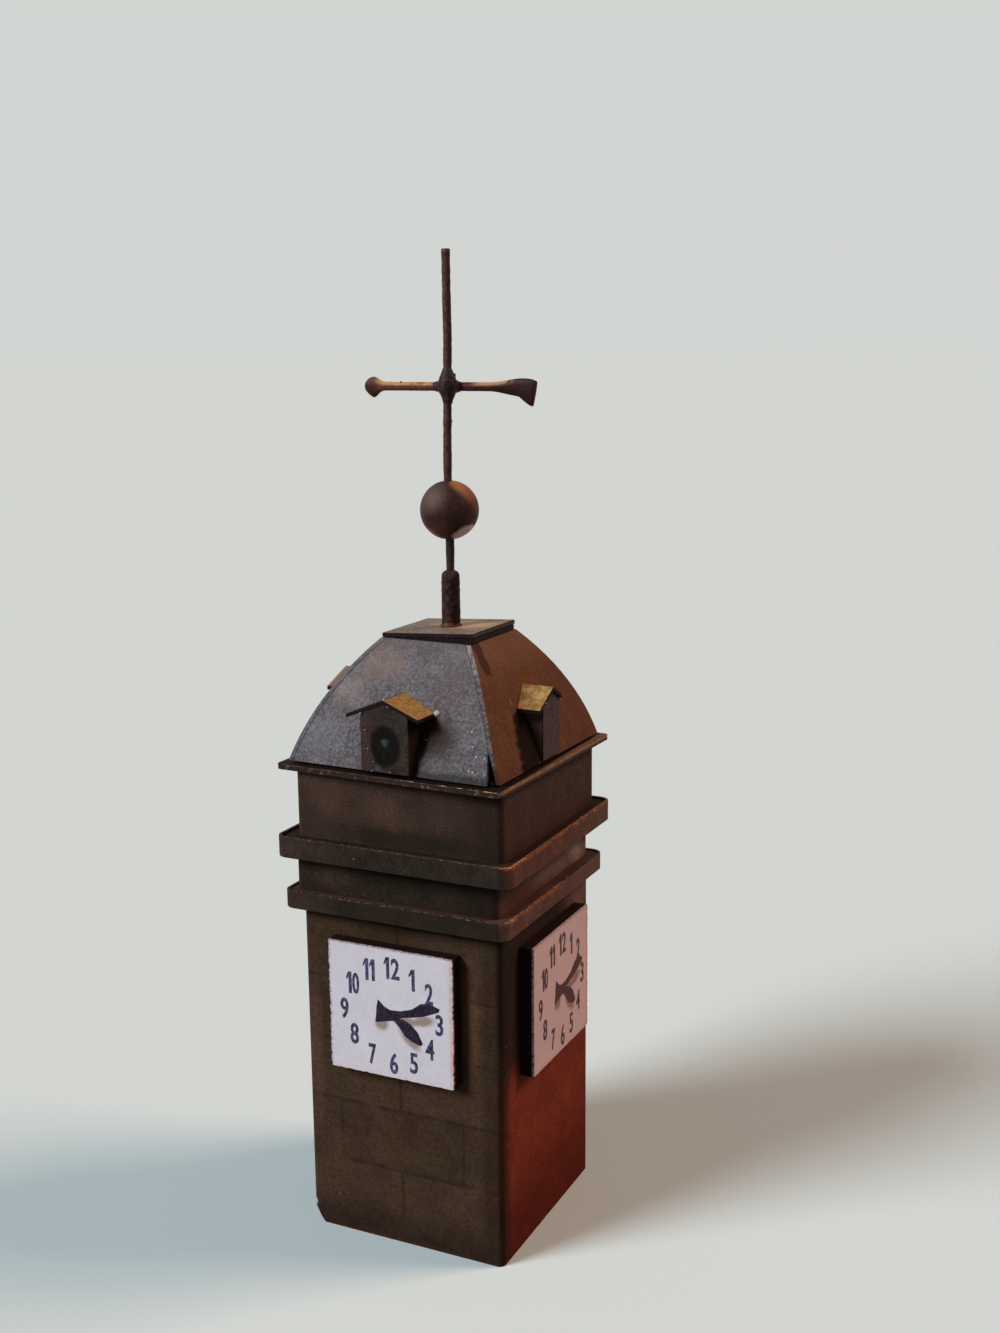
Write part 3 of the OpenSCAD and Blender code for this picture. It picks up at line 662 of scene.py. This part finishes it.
def bead_finish(x, y, z):
    """The browned bead round a centre in mm, with painted light and reflections: grey to the left,
    golden at the upper right, pink and pale below.
    """
    bead = Finish("browned bead")
    bead.colour = bead.grained((32, 17, 14), (52, 29, 23), 0.35)
    # Painted light and reflections: offset from the centre, reach, softness, tone and share
    for dx, dy, dz, reach, soft, tone, share in (
            (-0.5, -1.7, 1.1, 1.7, 0.95, (90, 75, 68), 0.7),
            (-1.5, -1.0, 0.1, 1.2, 0.95, (84, 66, 60), 0.5),
            (0.3, -1.5, -1.3, 1.2, 0.95, (82, 46, 38), 0.8),
            (1.1, -0.1, 1.75, 1.15, 0.5, (136, 88, 48), 0.85),
            (1.75, -0.1, 1.2, 0.9, 0.6, (116, 66, 38), 0.85),
            (2.0, -0.1, 0.45, 0.8, 0.9, (100, 46, 28), 0.6),
            (-0.8, -0.95, -1.6, 0.85, 0.7, (158, 74, 68), 0.85),
            (1.2, -0.35, -1.5, 0.95, 0.35, (214, 190, 186), 0.9)):
        bead.blot(share, tone, (x + dx, y + dy, z + dz), (reach, reach, reach), soft, 0.5)
    bead.uneven((0.12, 0.2))
    return bead.surface(0.55, 0.1, 0.02, 0.25, 0.06)


# ---------------------------------------- modelling

# In degrees: edges sharper than RUBBED are rounded, those under EVEN are shaded as one, and faces
# that turn by less than LEVEL are made one
RUBBED, EVEN, LEVEL = 35, 28, 0.5


def deselect():
    bpy.ops.object.select_all(action="DESELECT")


def hold(piece):
    deselect()
    piece.select_set(True)
    bpy.context.view_layer.objects.active = piece


@contextmanager
def editing(piece):
    """Edit mode on a piece, with all of it selected."""
    hold(piece)
    bpy.ops.object.mode_set(mode="EDIT")
    bpy.ops.mesh.select_all(action="SELECT")
    yield
    bpy.ops.object.mode_set(mode="OBJECT")


def turn_outward():
    bpy.ops.mesh.select_all(action="SELECT")
    bpy.ops.mesh.normals_make_consistent(inside=False)


def moved(x, y, z):
    return Matrix.Translation(Vector((x, y, z)) * MM)


def move_mesh(piece, x, y, z):
    piece.data.transform(moved(x, y, z))


def smooth(piece, angle=50):
    hold(piece)
    bpy.ops.object.shade_smooth_by_angle(angle=radians(angle))


def settle(piece, x, y, z, angle=50):
    move_mesh(piece, x, y, z)
    smooth(piece, angle)


def join(pieces):
    hold(pieces[0])
    for piece in pieces[1:]:
        piece.select_set(True)
    bpy.ops.object.join()
    return bpy.context.active_object


def apply_all(piece):
    hold(piece)
    for modifier in list(piece.modifiers):
        bpy.ops.object.modifier_apply(modifier=modifier.name)


def box_round(points):
    """The lowest and the highest corner of the box round some points."""
    return [Vector([pick(point[i] for point in points) for i in range(3)]) for pick in (min, max)]


seated = []


def seat(piece, name, slot, *finishes):
    """Names a finished piece, gives it its finishes and puts it on the model."""
    piece.name = name
    piece.data.name = name
    seated.append(piece)
    piece.data.materials.clear()
    for material in finishes:
        piece.data.materials.append(material)
    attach(piece, "root")
    return piece


def merged_copy(node):
    piece = put(node + " copy", nodes[node].data.copy())
    with editing(piece):
        bpy.ops.mesh.remove_doubles(threshold=WELD)
        bpy.ops.mesh.dissolve_limited(angle_limit=radians(LEVEL))
    return piece


def rub_edges(piece, width):
    """Rounds a card piece's edges a little; the rounded faces take the second finish."""
    bevel = piece.modifiers.new("rubbed edges", "BEVEL")
    bevel.width = width * MM
    bevel.segments = 2
    bevel.limit_method = "ANGLE"
    bevel.angle_limit = radians(RUBBED)
    bevel.material = 1
    bevel.harden_normals = False
    piece.modifiers.new("even shading", "WEIGHTED_NORMAL").keep_sharp = True
    for polygon in piece.data.polygons:
        polygon.material_index = 0
    smooth(piece, EVEN)
    apply_all(piece)


def side_turn(side, extra=0.0):
    return Matrix.Rotation(radians(SIDES[side] + extra), 4, "Z")


def note_side(piece, side, extra, centred=False):
    """Keeps where each point lies on its own side of the tower, in from the piece's front."""
    back = side_turn(side, extra).inverted()
    spots = [back @ vertex.co for vertex in piece.data.vertices]
    low, high = box_round(spots)
    middle = (low.x + high.x) / 2 if centred else 0
    kept = piece.data.attributes.new("on_side", "FLOAT_VECTOR", "POINT")
    for spot, entry in zip(spots, kept.data):
        entry.vector = spot - Vector((middle, low.y, 0))


def card_piece(node, name, slot, face, edge, width=0.035, side=None):
    piece = merged_copy(node)
    seat(piece, name, slot, face, edge)
    rub_edges(piece, width)
    if side:
        note_side(piece, side, ROOF_TURN)
    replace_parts(piece, node)
    return piece


def disc(count, radius=1):
    """A flat round piece at the origin, with this many corners and a radius in mm."""
    deselect()
    bpy.ops.mesh.primitive_circle_add(vertices=count, radius=radius * MM, fill_type="NGON")
    return bpy.context.active_object


def ringed(rings, sides, along_x=False):
    """A closed round piece drawn ring by ring, in mm: each ring's place and half width, then its
    half height, rise and shift, unless they are the half width, 0 and 0."""
    rings = [ring + (ring[1], 0, 0)[len(ring) - 2:] for ring in rings]
    centre, across, up, rise, shift = rings[0]
    piece = disc(sides)
    with editing(piece):
        bpy.ops.transform.resize(value=(across, up, 1), center_override=(0, 0, 0))
        bpy.ops.transform.translate(value=(shift * MM, rise * MM, centre * MM))
        for ring in rings[1:]:
            step = ((ring[4] - shift) * MM, (ring[3] - rise) * MM, (ring[0] - centre) * MM)
            bpy.ops.mesh.extrude_region_move(TRANSFORM_OT_translate={"value": step})
            bpy.ops.transform.resize(value=(ring[1] / across, ring[2] / up, 1),
                                     center_override=(ring[4] * MM, ring[3] * MM, ring[0] * MM))
            centre, across, up, rise, shift = ring
        turn_outward()
    if along_x:
        piece.data.transform(Matrix(((0, 0, 1, 0), (1, 0, 0, 0), (0, 1, 0, 0), (0, 0, 0, 1))))
    return piece


def lumpy(piece, name, size, strength, middle=0.5):
    """Gives a piece lumps of about this size and strength, in mm."""
    texture = bpy.data.textures.new(name, "CLOUDS")
    texture.noise_scale = size * MM
    wave = piece.modifiers.new(name, "DISPLACE")
    wave.texture = texture
    wave.strength = strength * MM
    wave.mid_level = middle
    apply_all(piece)


def beads(rings, sides, spots):
    """One piece of many small beads, each at its place and of its size in mm."""
    made = []
    for x, y, z, size in spots:
        bead = ringed(rings, sides)
        bead.data.transform(moved(x, y, z) @ Matrix.Scale(size, 4))
        made.append(bead)
    return join(made)


# ---------------------------------------- dials

# Where the printed figures stand on a dial, and how wide each is, in mm from the dial's middle
FIGURES = [("1", 1.72, 2.8, 0.46), ("2", 3.04, 1.99, 0.68), ("3", 3.8, -0.14, 0.64),
           ("4", 3.04, -2.06, 0.74), ("5", 1.76, -3.33, 0.68), ("6", 0.18, -3.64, 0.7),
           ("7", -1.53, -3.24, 0.64), ("8", -2.94, -1.96, 0.72), ("9", -3.7, -0.19, 0.7),
           ("1", -3.28, 1.82, 0.42), ("0", -2.74, 1.82, 0.6), ("1", -1.9, 3.03, 0.42),
           ("1", -1.4, 3.03, 0.42), ("1", -0.24, 3.38, 0.42), ("2", 0.44, 3.38, 0.72)]
FIGURE_HEIGHT, STEM, BOLD = 1.6, 0.23, 0.065
# How thick the ink is drawn, and how far its middle stands off the paper, in mm
INK, INK_LIFT = 0.016, 0.012
# The outlines of the printed hands, in mm from the dial's middle
MINUTE_HAND = [(-0.98, 0.93), (-0.5, 0.5), (-0.05, 0.3), (0.78, 0.36), (1.69, 0.65), (2.42, 1.2),
               (3.13, 1.27), (3.85, 1.05), (3.75, 0.8), (3.34, 0.62), (2.57, 0.28), (1.67, 0.05),
               (0.9, -0.1), (0.4, -0.4), (-0.33, -0.57), (-1.22, -0.78), (-1.15, -0.2), (-1.1, 0.4)]
HOUR_HAND = [(0.22, -0.38), (0.95, -0.2), (1.57, -0.47), (2.1, -0.96), (2.5, -1.75), (2.3, -1.93),
             (1.63, -1.73), (1.1, -1.41), (0.75, -0.96)]
HANDS = (MINUTE_HAND, INK + 0.001), (HOUR_HAND, INK + 0.002)
# How many parts a dial's edge is cut into, and how deep the nicks are at its sides and its ends
CUTS, SIDE_NICK, END_NICK = 48, 0.1, 0.05


def outline_piece(points, depth):
    """A flat piece cut to an outline, facing the front."""
    piece = disc(len(points))
    for vertex, (x, z) in zip(piece.data.vertices, points):
        vertex.co = (x * MM, 0, z * MM)
    solid = piece.modifiers.new("ink", "SOLIDIFY")
    solid.thickness = depth * MM
    solid.offset = 0
    apply_all(piece)
    with editing(piece):
        turn_outward()
    return piece


def figure(text, x, z, width):
    """A bold narrow figure, facing the front."""
    if text == "1":
        half, high = width / 2, FIGURE_HEIGHT / 2
        left = half - STEM
        mark = outline_piece([
            (-half, high - 0.42), (left - 0.02, high - 0.02), (half, high), (half, -high),
            (left, -high), (left, high - 0.36), (-half, high - 0.6)], INK)
        move_mesh(mark, x, 0, z)
        return mark
    deselect()
    bpy.ops.object.text_add()
    bpy.context.active_object.data.body = text
    bpy.ops.object.convert(target="CURVE")
    curve = bpy.context.active_object.data
    low, high = box_round([point.co for spline in curve.splines for point in spline.bezier_points])
    across = (width - 2 * BOLD) * MM / (high.x - low.x)
    up = (FIGURE_HEIGHT - 2 * BOLD) * MM / (high.y - low.y)
    centred = Matrix.Translation((-(low.x + high.x) / 2, -(low.y + high.y) / 2, 0))
    curve.transform(Matrix.Diagonal((across, up, 1, 1)) @ centred)
    curve.offset = BOLD * MM
    curve.extrude = INK / 2 * MM
    bpy.ops.object.convert(target="MESH")
    mark = bpy.context.active_object
    mark.data.transform(moved(x, 0, z) @ Matrix.Rotation(radians(90), 4, "X"))
    return mark


def ragged_paper(node, side):
    """The printed dial, with edges cut by hand that wander a little."""
    piece = merged_copy(node)
    piece.data.transform(side_turn(side).inverted())
    low, high = box_round([vertex.co for vertex in piece.data.vertices])
    with editing(piece):
        for cut in range(1, CUTS):
            at = [low[i] + cut / CUTS * (high[i] - low[i]) for i in range(3)]
            for across in ((0, 0, 1), (1, 0, 0)):
                bpy.ops.mesh.select_all(action="SELECT")
                bpy.ops.mesh.bisect(plane_co=at, plane_no=across)
    draw = random.Random(SIDES[side] + 5)
    nicks = {}
    for vertex in piece.data.vertices:
        key = (round(vertex.co.x * 1e6), round(vertex.co.z * 1e6))
        if key not in nicks:
            nicks[key] = (draw.random() ** 3 * SIDE_NICK * MM, draw.random() ** 3 * END_NICK * MM)
        for axis, nick in zip((0, 2), nicks[key]):
            if abs(vertex.co[axis] - low[axis]) < WELD:
                vertex.co[axis] += nick
            if abs(vertex.co[axis] - high[axis]) < WELD:
                vertex.co[axis] -= nick
    piece.data.transform(side_turn(side))
    return piece


def printed_dials():
    paper = dial_finish()
    edge = worn_edge("dial paper edge", (112, 98, 98), (92, 58, 50), 0.5, 0.03)
    ink = ink_finish("dial ink", (34, 32, 56), (84, 84, 114))
    hand_ink = ink_finish("dial hand ink", (26, 22, 36), (52, 44, 60))
    for side in SIDES:
        node = "dial_face_" + side
        face = ragged_paper(node, side)
        seat(face, "dial_print_" + side, "dial_paper", paper, edge)
        rub_edges(face, 0.02)
        note_side(face, side, 0, True)
        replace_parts(face, node)
        low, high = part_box(node)
        centre = side_turn(side).inverted() @ ((low + high) / 2)
        outward = 0 if side in ("right", "left") else 1
        out = max(abs(low[outward]), abs(high[outward])) + INK_LIFT * MM
        spot = side_turn(side) @ Matrix.Translation((centre.x, -out, centre.z))
        figures = join([figure(*entry) for entry in FIGURES])
        figures.data.transform(spot)
        seat(figures, "dial_figures_" + side, "dial_paper", ink)
        hands = join([outline_piece(hand, depth) for hand, depth in HANDS])
        hands.data.transform(spot)
        seat(hands, "dial_hands_" + side, "dial_paper", hand_ink)


# ---------------------------------------- finial

# How far the bent wire strays to the right, by height, in mm
BENDS = [(51, 0), (54.5, -0.1), (57, -0.08), (59.5, -0.03), (61.5, 0.0), (64, 0.05), (66, 0.02)]
# The cross arm is straight wire between two ends: place along it, top, foot and half thickness
ARM_WIRE, ARM_FROM, ARM_LONG, ARM_STEPS = 0.31, -5.2, 8.2, 18
ARM_KNOB = [(-6.85, 0.1, -0.12, 0.1), (-6.8, 0.3, -0.32, 0.22), (-6.62, 0.5, -0.52, 0.29),
            (-6.4, 0.62, -0.7, 0.31), (-6.18, 0.66, -0.8, 0.31), (-6.0, 0.63, -0.72, 0.31),
            (-5.82, 0.54, -0.56, 0.31), (-5.65, 0.43, -0.42, 0.31), (-5.45, 0.34, -0.33, 0.31),
            (-5.2, 0.31, -0.31, 0.31)]
ARM_BLADE = [(3.0, 0.31, -0.31, 0.31), (3.3, 0.33, -0.34, 0.3), (3.7, 0.37, -0.4, 0.28),
             (4.1, 0.43, -0.48, 0.25), (4.42, 0.49, -0.54, 0.23), (4.8, 0.54, -0.6, 0.21),
             (5.12, 0.575, -0.68, 0.2), (5.42, 0.58, -0.92, 0.2), (5.72, 0.565, -1.12, 0.2),
             (5.97, 0.52, -1.24, 0.19), (6.2, 0.42, -1.29, 0.17), (6.29, 0.36, -1.29, 0.12)]


def upright_wire(x, y, draw, wire):
    low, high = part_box("finial_rod")
    radius, foot, top = (high.x - low.x) / 2 / MM, low.z / MM, high.z / MM
    bends = [(foot, 0), *BENDS, (top, 0)]

    def stray(z):
        for (z0, b0), (z1, b1) in zip(bends, bends[1:]):
            if z <= z1:
                return b0 + (b1 - b0) * (z - z0) / (z1 - z0)

    rings = [(foot, radius)]
    for i in range(1, 90):
        z = foot + (top - 0.06 - foot) * i / 90
        wobble = radius - 0.03 * draw.random()
        rings.append((z, wobble, wobble, 0, stray(z)))
    rings += [(top - 0.05, radius * 0.97), (top, radius * 0.84)]
    rod = ringed(rings, 28)
    settle(rod, x, y, 0)
    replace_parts(seat(rod, "finial_wire", "wire", wire), "finial_rod")


def sleeve_and_glue(x, y, draw):
    """The tube round the wire, rounded over at its top, and the collar of glue at its foot."""
    low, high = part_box("finial_sleeve")
    radius, foot, top = (high.x - low.x) / 2 / MM, low.z / MM, high.z / MM
    rings = [(foot, radius * 0.93), (foot + 0.1, radius * 0.99)]
    for i in range(1, 26):
        wobble = radius * (1 - 0.04 * draw.random() - 0.01 * i / 26)
        rings.append((foot + 0.1 + (top - foot - 0.55) * i / 26, wobble))
    for turn in range(1, 6):
        bent = radians(turn * 15)
        rings.append((top - 0.45 + 0.45 * sin(bent), radius * 0.96 - 0.36 * (1 - cos(bent))))
    rings.append((top, radius * 0.5))
    sleeve = ringed(rings, 32)
    settle(sleeve, x, y, 0)
    metal = wire_finish("browned sleeve", (26, 17, 16), (62, 46, 41), (70, 36, 30), 0.6, 0.05, 0.05)
    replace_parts(seat(sleeve, "finial_tube", "wire", metal), "finial_sleeve")

    collar = ringed([(foot - 0.16, 0.66), (foot - 0.05, 0.76, 0.74), (foot + 0.04, 0.74, 0.72),
                     (foot + 0.12, 0.68, 0.67), (foot + 0.26, 0.64)], 32)
    lumpy(collar, "glue lumps", 0.35, 0.09)
    settle(collar, x, y, 0, 70)
    brown_glue = wire_finish("brown glue", (44, 24, 21), (88, 50, 38), (96, 44, 34), 0.5, 0.0)
    seat(collar, "finial_glue", "wire", brown_glue)


def dented_bead(x, y):
    low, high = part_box("finial_ball")
    centre, radius = (low.z + high.z) / 2 / MM, (high.x - low.x) / 2 / MM
    half = (high.z - low.z) / 2 / MM
    rings = []
    for i in range(41):
        bent = radians(-76 + 152 * i / 40)
        rings.append((max(-half, min(half, radius * sin(bent))), radius * cos(bent)))
    bead = ringed(rings, 64)
    lumpy(bead, "bead dents", 1.6, 0.02, 1.0)
    settle(bead, x, y, centre, 40)
    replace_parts(seat(bead, "finial_bead", "bead", bead_finish(x, y, centre)), "finial_ball")


def arm_and_solder(x, y, draw):
    low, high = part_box("cross_arm")
    arm_y = (low.y + high.y) / 2 / MM
    low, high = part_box("solder_joint")
    arm_z = (low.z + high.z) / 2 / MM
    outline = list(ARM_KNOB)
    for i in range(1, ARM_STEPS):
        wobble = 0.016 * draw.random()
        half = ARM_WIRE - wobble
        at = ARM_FROM + ARM_LONG * i / ARM_STEPS
        outline.append((at, half, wobble * 0.5 - ARM_WIRE, half))
    outline += ARM_BLADE
    arm = ringed([(at, thick, (top - foot) / 2, (top + foot) / 2)
                  for at, top, foot, thick in outline], 28, True)
    # the blade's end is cut aslant
    for vertex in arm.data.vertices:
        past = max(0.0, vertex.co.x / MM - 5.0) / 1.29
        vertex.co.x += past * past * 0.19 * (vertex.co.z + 0.5 * MM)
    settle(arm, x, arm_y, arm_z, 60)
    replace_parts(seat(arm, "hammered_arm", "wire", arm_finish()), "cross_arm")

    upright = ringed([(-1.15, 0.32), (-0.9, 0.37), (-0.6, 0.48), (-0.35, 0.62), (0, 0.7),
                      (0.4, 0.66), (0.7, 0.54), (1.0, 0.41), (1.3, 0.32)], 28)
    level = ringed([(-1.15, 0.32), (-0.85, 0.38), (-0.5, 0.5), (-0.2, 0.6), (0.15, 0.62),
                    (0.45, 0.5), (0.75, 0.39), (1.0, 0.32)], 28, True)
    move_mesh(level, -0.22, arm_y - y, 0)
    knob = ringed([(-0.16, 0.06), (-0.08, 0.15), (0.02, 0.17), (0.14, 0.1)], 16)
    move_mesh(knob, 0.44, 0.1, 0.8)
    lump = join([upright, level, knob])
    fuse = lump.modifiers.new("fuse", "REMESH")
    fuse.mode = "VOXEL"
    fuse.voxel_size = 0.05 * MM
    lump.modifiers.new("ease", "SMOOTH").iterations = 6
    lumpy(lump, "solder lumps", 0.4, 0.08, 0.6)
    settle(lump, x, y, arm_z, 80)
    solder = wire_finish("browned solder", (28, 18, 18), (60, 42, 37), (66, 34, 30), 0.55, 0.1)
    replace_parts(seat(lump, "solder_lump", "solder", solder), "solder_joint")


def finial():
    wire = wire_finish("browned wire", (48, 33, 32), (82, 57, 50), (96, 50, 42), 0.5, 0.1,
                       low_dark=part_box("finial_ball")[0].z / MM)
    low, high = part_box("finial_rod")
    x, y = (low.x + high.x) / 2 / MM, (low.y + high.y) / 2 / MM
    draw = random.Random(11)
    upright_wire(x, y, draw, wire)
    sleeve_and_glue(x, y, draw)
    dented_bead(x, y)
    arm_and_solder(x, y, draw)
    spots = ((0.33, 65.6, 0.06), (0.35, 64.9, 0.07), (0.34, 58.3, 0.05), (-0.31, 57.2, 0.05),
             (0.64, 44.7, 0.08), (-0.62, 46.2, 0.07), (-0.6, 47.5, 0.07), (-3.6, 60.93, 0.08))
    flecks = beads([(-0.8, 0.3), (-0.2, 0.9), (0.4, 0.8), (0.9, 0.3)], 10,
                   [(x + across, y - 0.05, z, size) for across, z, size in spots])
    smooth(flecks, 60)
    seat(flecks, "wire_burrs", "wire", wire)


def glue_dots():
    """Beads of dried glue where the dormers were stuck on."""
    dots = beads([(-0.9, 0.35), (-0.5, 0.85), (0, 1), (0.5, 0.85), (0.9, 0.35)], 14, (
        (-0.19, -8.74, 40.36, 0.085), (0.05, -8.71, 39.9, 0.065), (-2.02, -8.74, 39.28, 0.075),
        (-1.71, -8.71, 38.16, 0.045), (-1.12, -8.71, 36.03, 0.045), (-1.26, -8.71, 35.36, 0.05),
        (0.11, -8.71, 35.4, 0.05), (2.62, -6.5, 39.2, 0.25), (2.2, -7.35, 37.57, 0.04),
        (1.6, -6.85, 38.75, 0.035), (6.9, -1.36, 37.48, 0.045), (6.9, -1.36, 36.81, 0.045)))
    smooth(dots, 70)
    seat(dots, "glue_dots", "dormer_card", glue_finish("dried glue", (150, 150, 148), 0.4))


# ---------------------------------------- tower

def tower():
    shaft_edge = worn_edge("rubbed wall fold", (42, 32, 27), (72, 57, 48), 0.3)
    dark_edge = worn_edge("rubbed dark edge", (26, 20, 18), (82, 66, 58), 0.35)
    card_piece("shaft", "shaft_card", "shaft_card", shaft_finish(), shaft_edge)
    block = plain_card("dial block card", (30, 19, 15))
    block_edge = worn_edge("rubbed block edge", (30, 18, 18), (100, 62, 56), 0.45)
    for side in SIDES:
        card_piece("dial_block_" + side, "dial_backing_" + side, "dial_block_card", block,
                   block_edge, 0.03)
    printed_dials()
    for level, plate, front, right, ends in (
            ("lower", (66, 44, 38), (37, 31, 24), (84, 60, 52), 1.0),
            ("upper", (40, 29, 25), (40, 34, 29), (80, 53, 43), 12)):
        card_piece(level + "_ledge_plate", level + "_ledge_card", "ledge_card",
                   plain_card(level + " ledge card", plate), dark_edge)
        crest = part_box(level + "_ledge_strip")[1].z / MM
        card_piece(level + "_ledge_strip", level + "_ledge_wrap", "ledge_paper",
                   strip_finish(level + " ledge paper", front, right, crest, ends),
                   rim_edge("rubbed " + level + " rim", front, right, ends))
    middle = box_finish("middle box card", (38, 31, 25), (72, 50, 43), [(-5, 27.6, 2.5)], 27.4)
    card_piece("middle_box", "middle_box_card", "box_card", middle, shaft_edge)
    upper = box_finish("upper box card", (53, 40, 34), (58, 42, 36),
                       [(-5.3, 33.2, 2.9), (-0.6, 32.4, 2.6)], 30.4)
    card_piece("upper_box", "upper_box_card", "box_card", upper, shaft_edge)
    card_piece("cornice_plate", "cornice_card", "cornice_card", cornice_finish(), cornice_rim())
    former = nodes["roof_former"].data.materials
    former.clear()
    former.append(plain_card("former card", (22, 18, 17)))
    silver, brown = roof_silver_finish(), roof_brown_finish()
    # Painted light: the silver panels' cut edges are painted lighter, to offset the shade they face
    # into
    silver_edge = worn_edge("rubbed silver edge", (84, 80, 84), (132, 128, 132), 0.3)
    for side in SIDES:
        # Painted reflection: the front and left panels take the silver-grey card, partly a sheen of
        # the window light, and the right and back the brown
        face, edge = (silver, silver_edge) if side in ("front", "left") else (brown, brown)
        card_piece("roof_panel_" + side, "roof_card_" + side, "roof_card", face, edge, 0.012)
    dark_glue = glue_finish("dark glue under the cap", (30, 21, 22), 0.02)
    card_piece("cap_bed", "cap_glue_bed", "cap_glue", dark_glue, dark_glue, 0.03)
    card_piece("cap_plate", "cap_card", "cap_card", cap_finish(),
               worn_edge("rubbed cap edge", (38, 26, 24), (88, 62, 50), 0.3, 0.02))
    walls, cover = dormer_finish(), dormer_roof_finish()
    cover_edge = worn_edge("rubbed dormer roof edge", (22, 14, 13), (70, 48, 40), 0.25, 0.03)
    for side in SIDES:
        card_piece("dormer_body_" + side, "dormer_walls_" + side, "dormer_card", walls, walls,
                   0.03, side)
        card_piece("dormer_roof_" + side, "dormer_cover_" + side, "dormer_roof_card", cover,
                   cover_edge, 0.03, side)


bpy.context.scene.view_settings.view_transform = "Standard"
set_camera()
set_studio()
tower()
finial()
glue_dots()

# rounding and bumps stay inside the box round the whole model
for piece in seated:
    for vertex in piece.data.vertices:
        vertex.co = [min(max(value, low), high) for value, low, high in zip(vertex.co, *cad_box)]
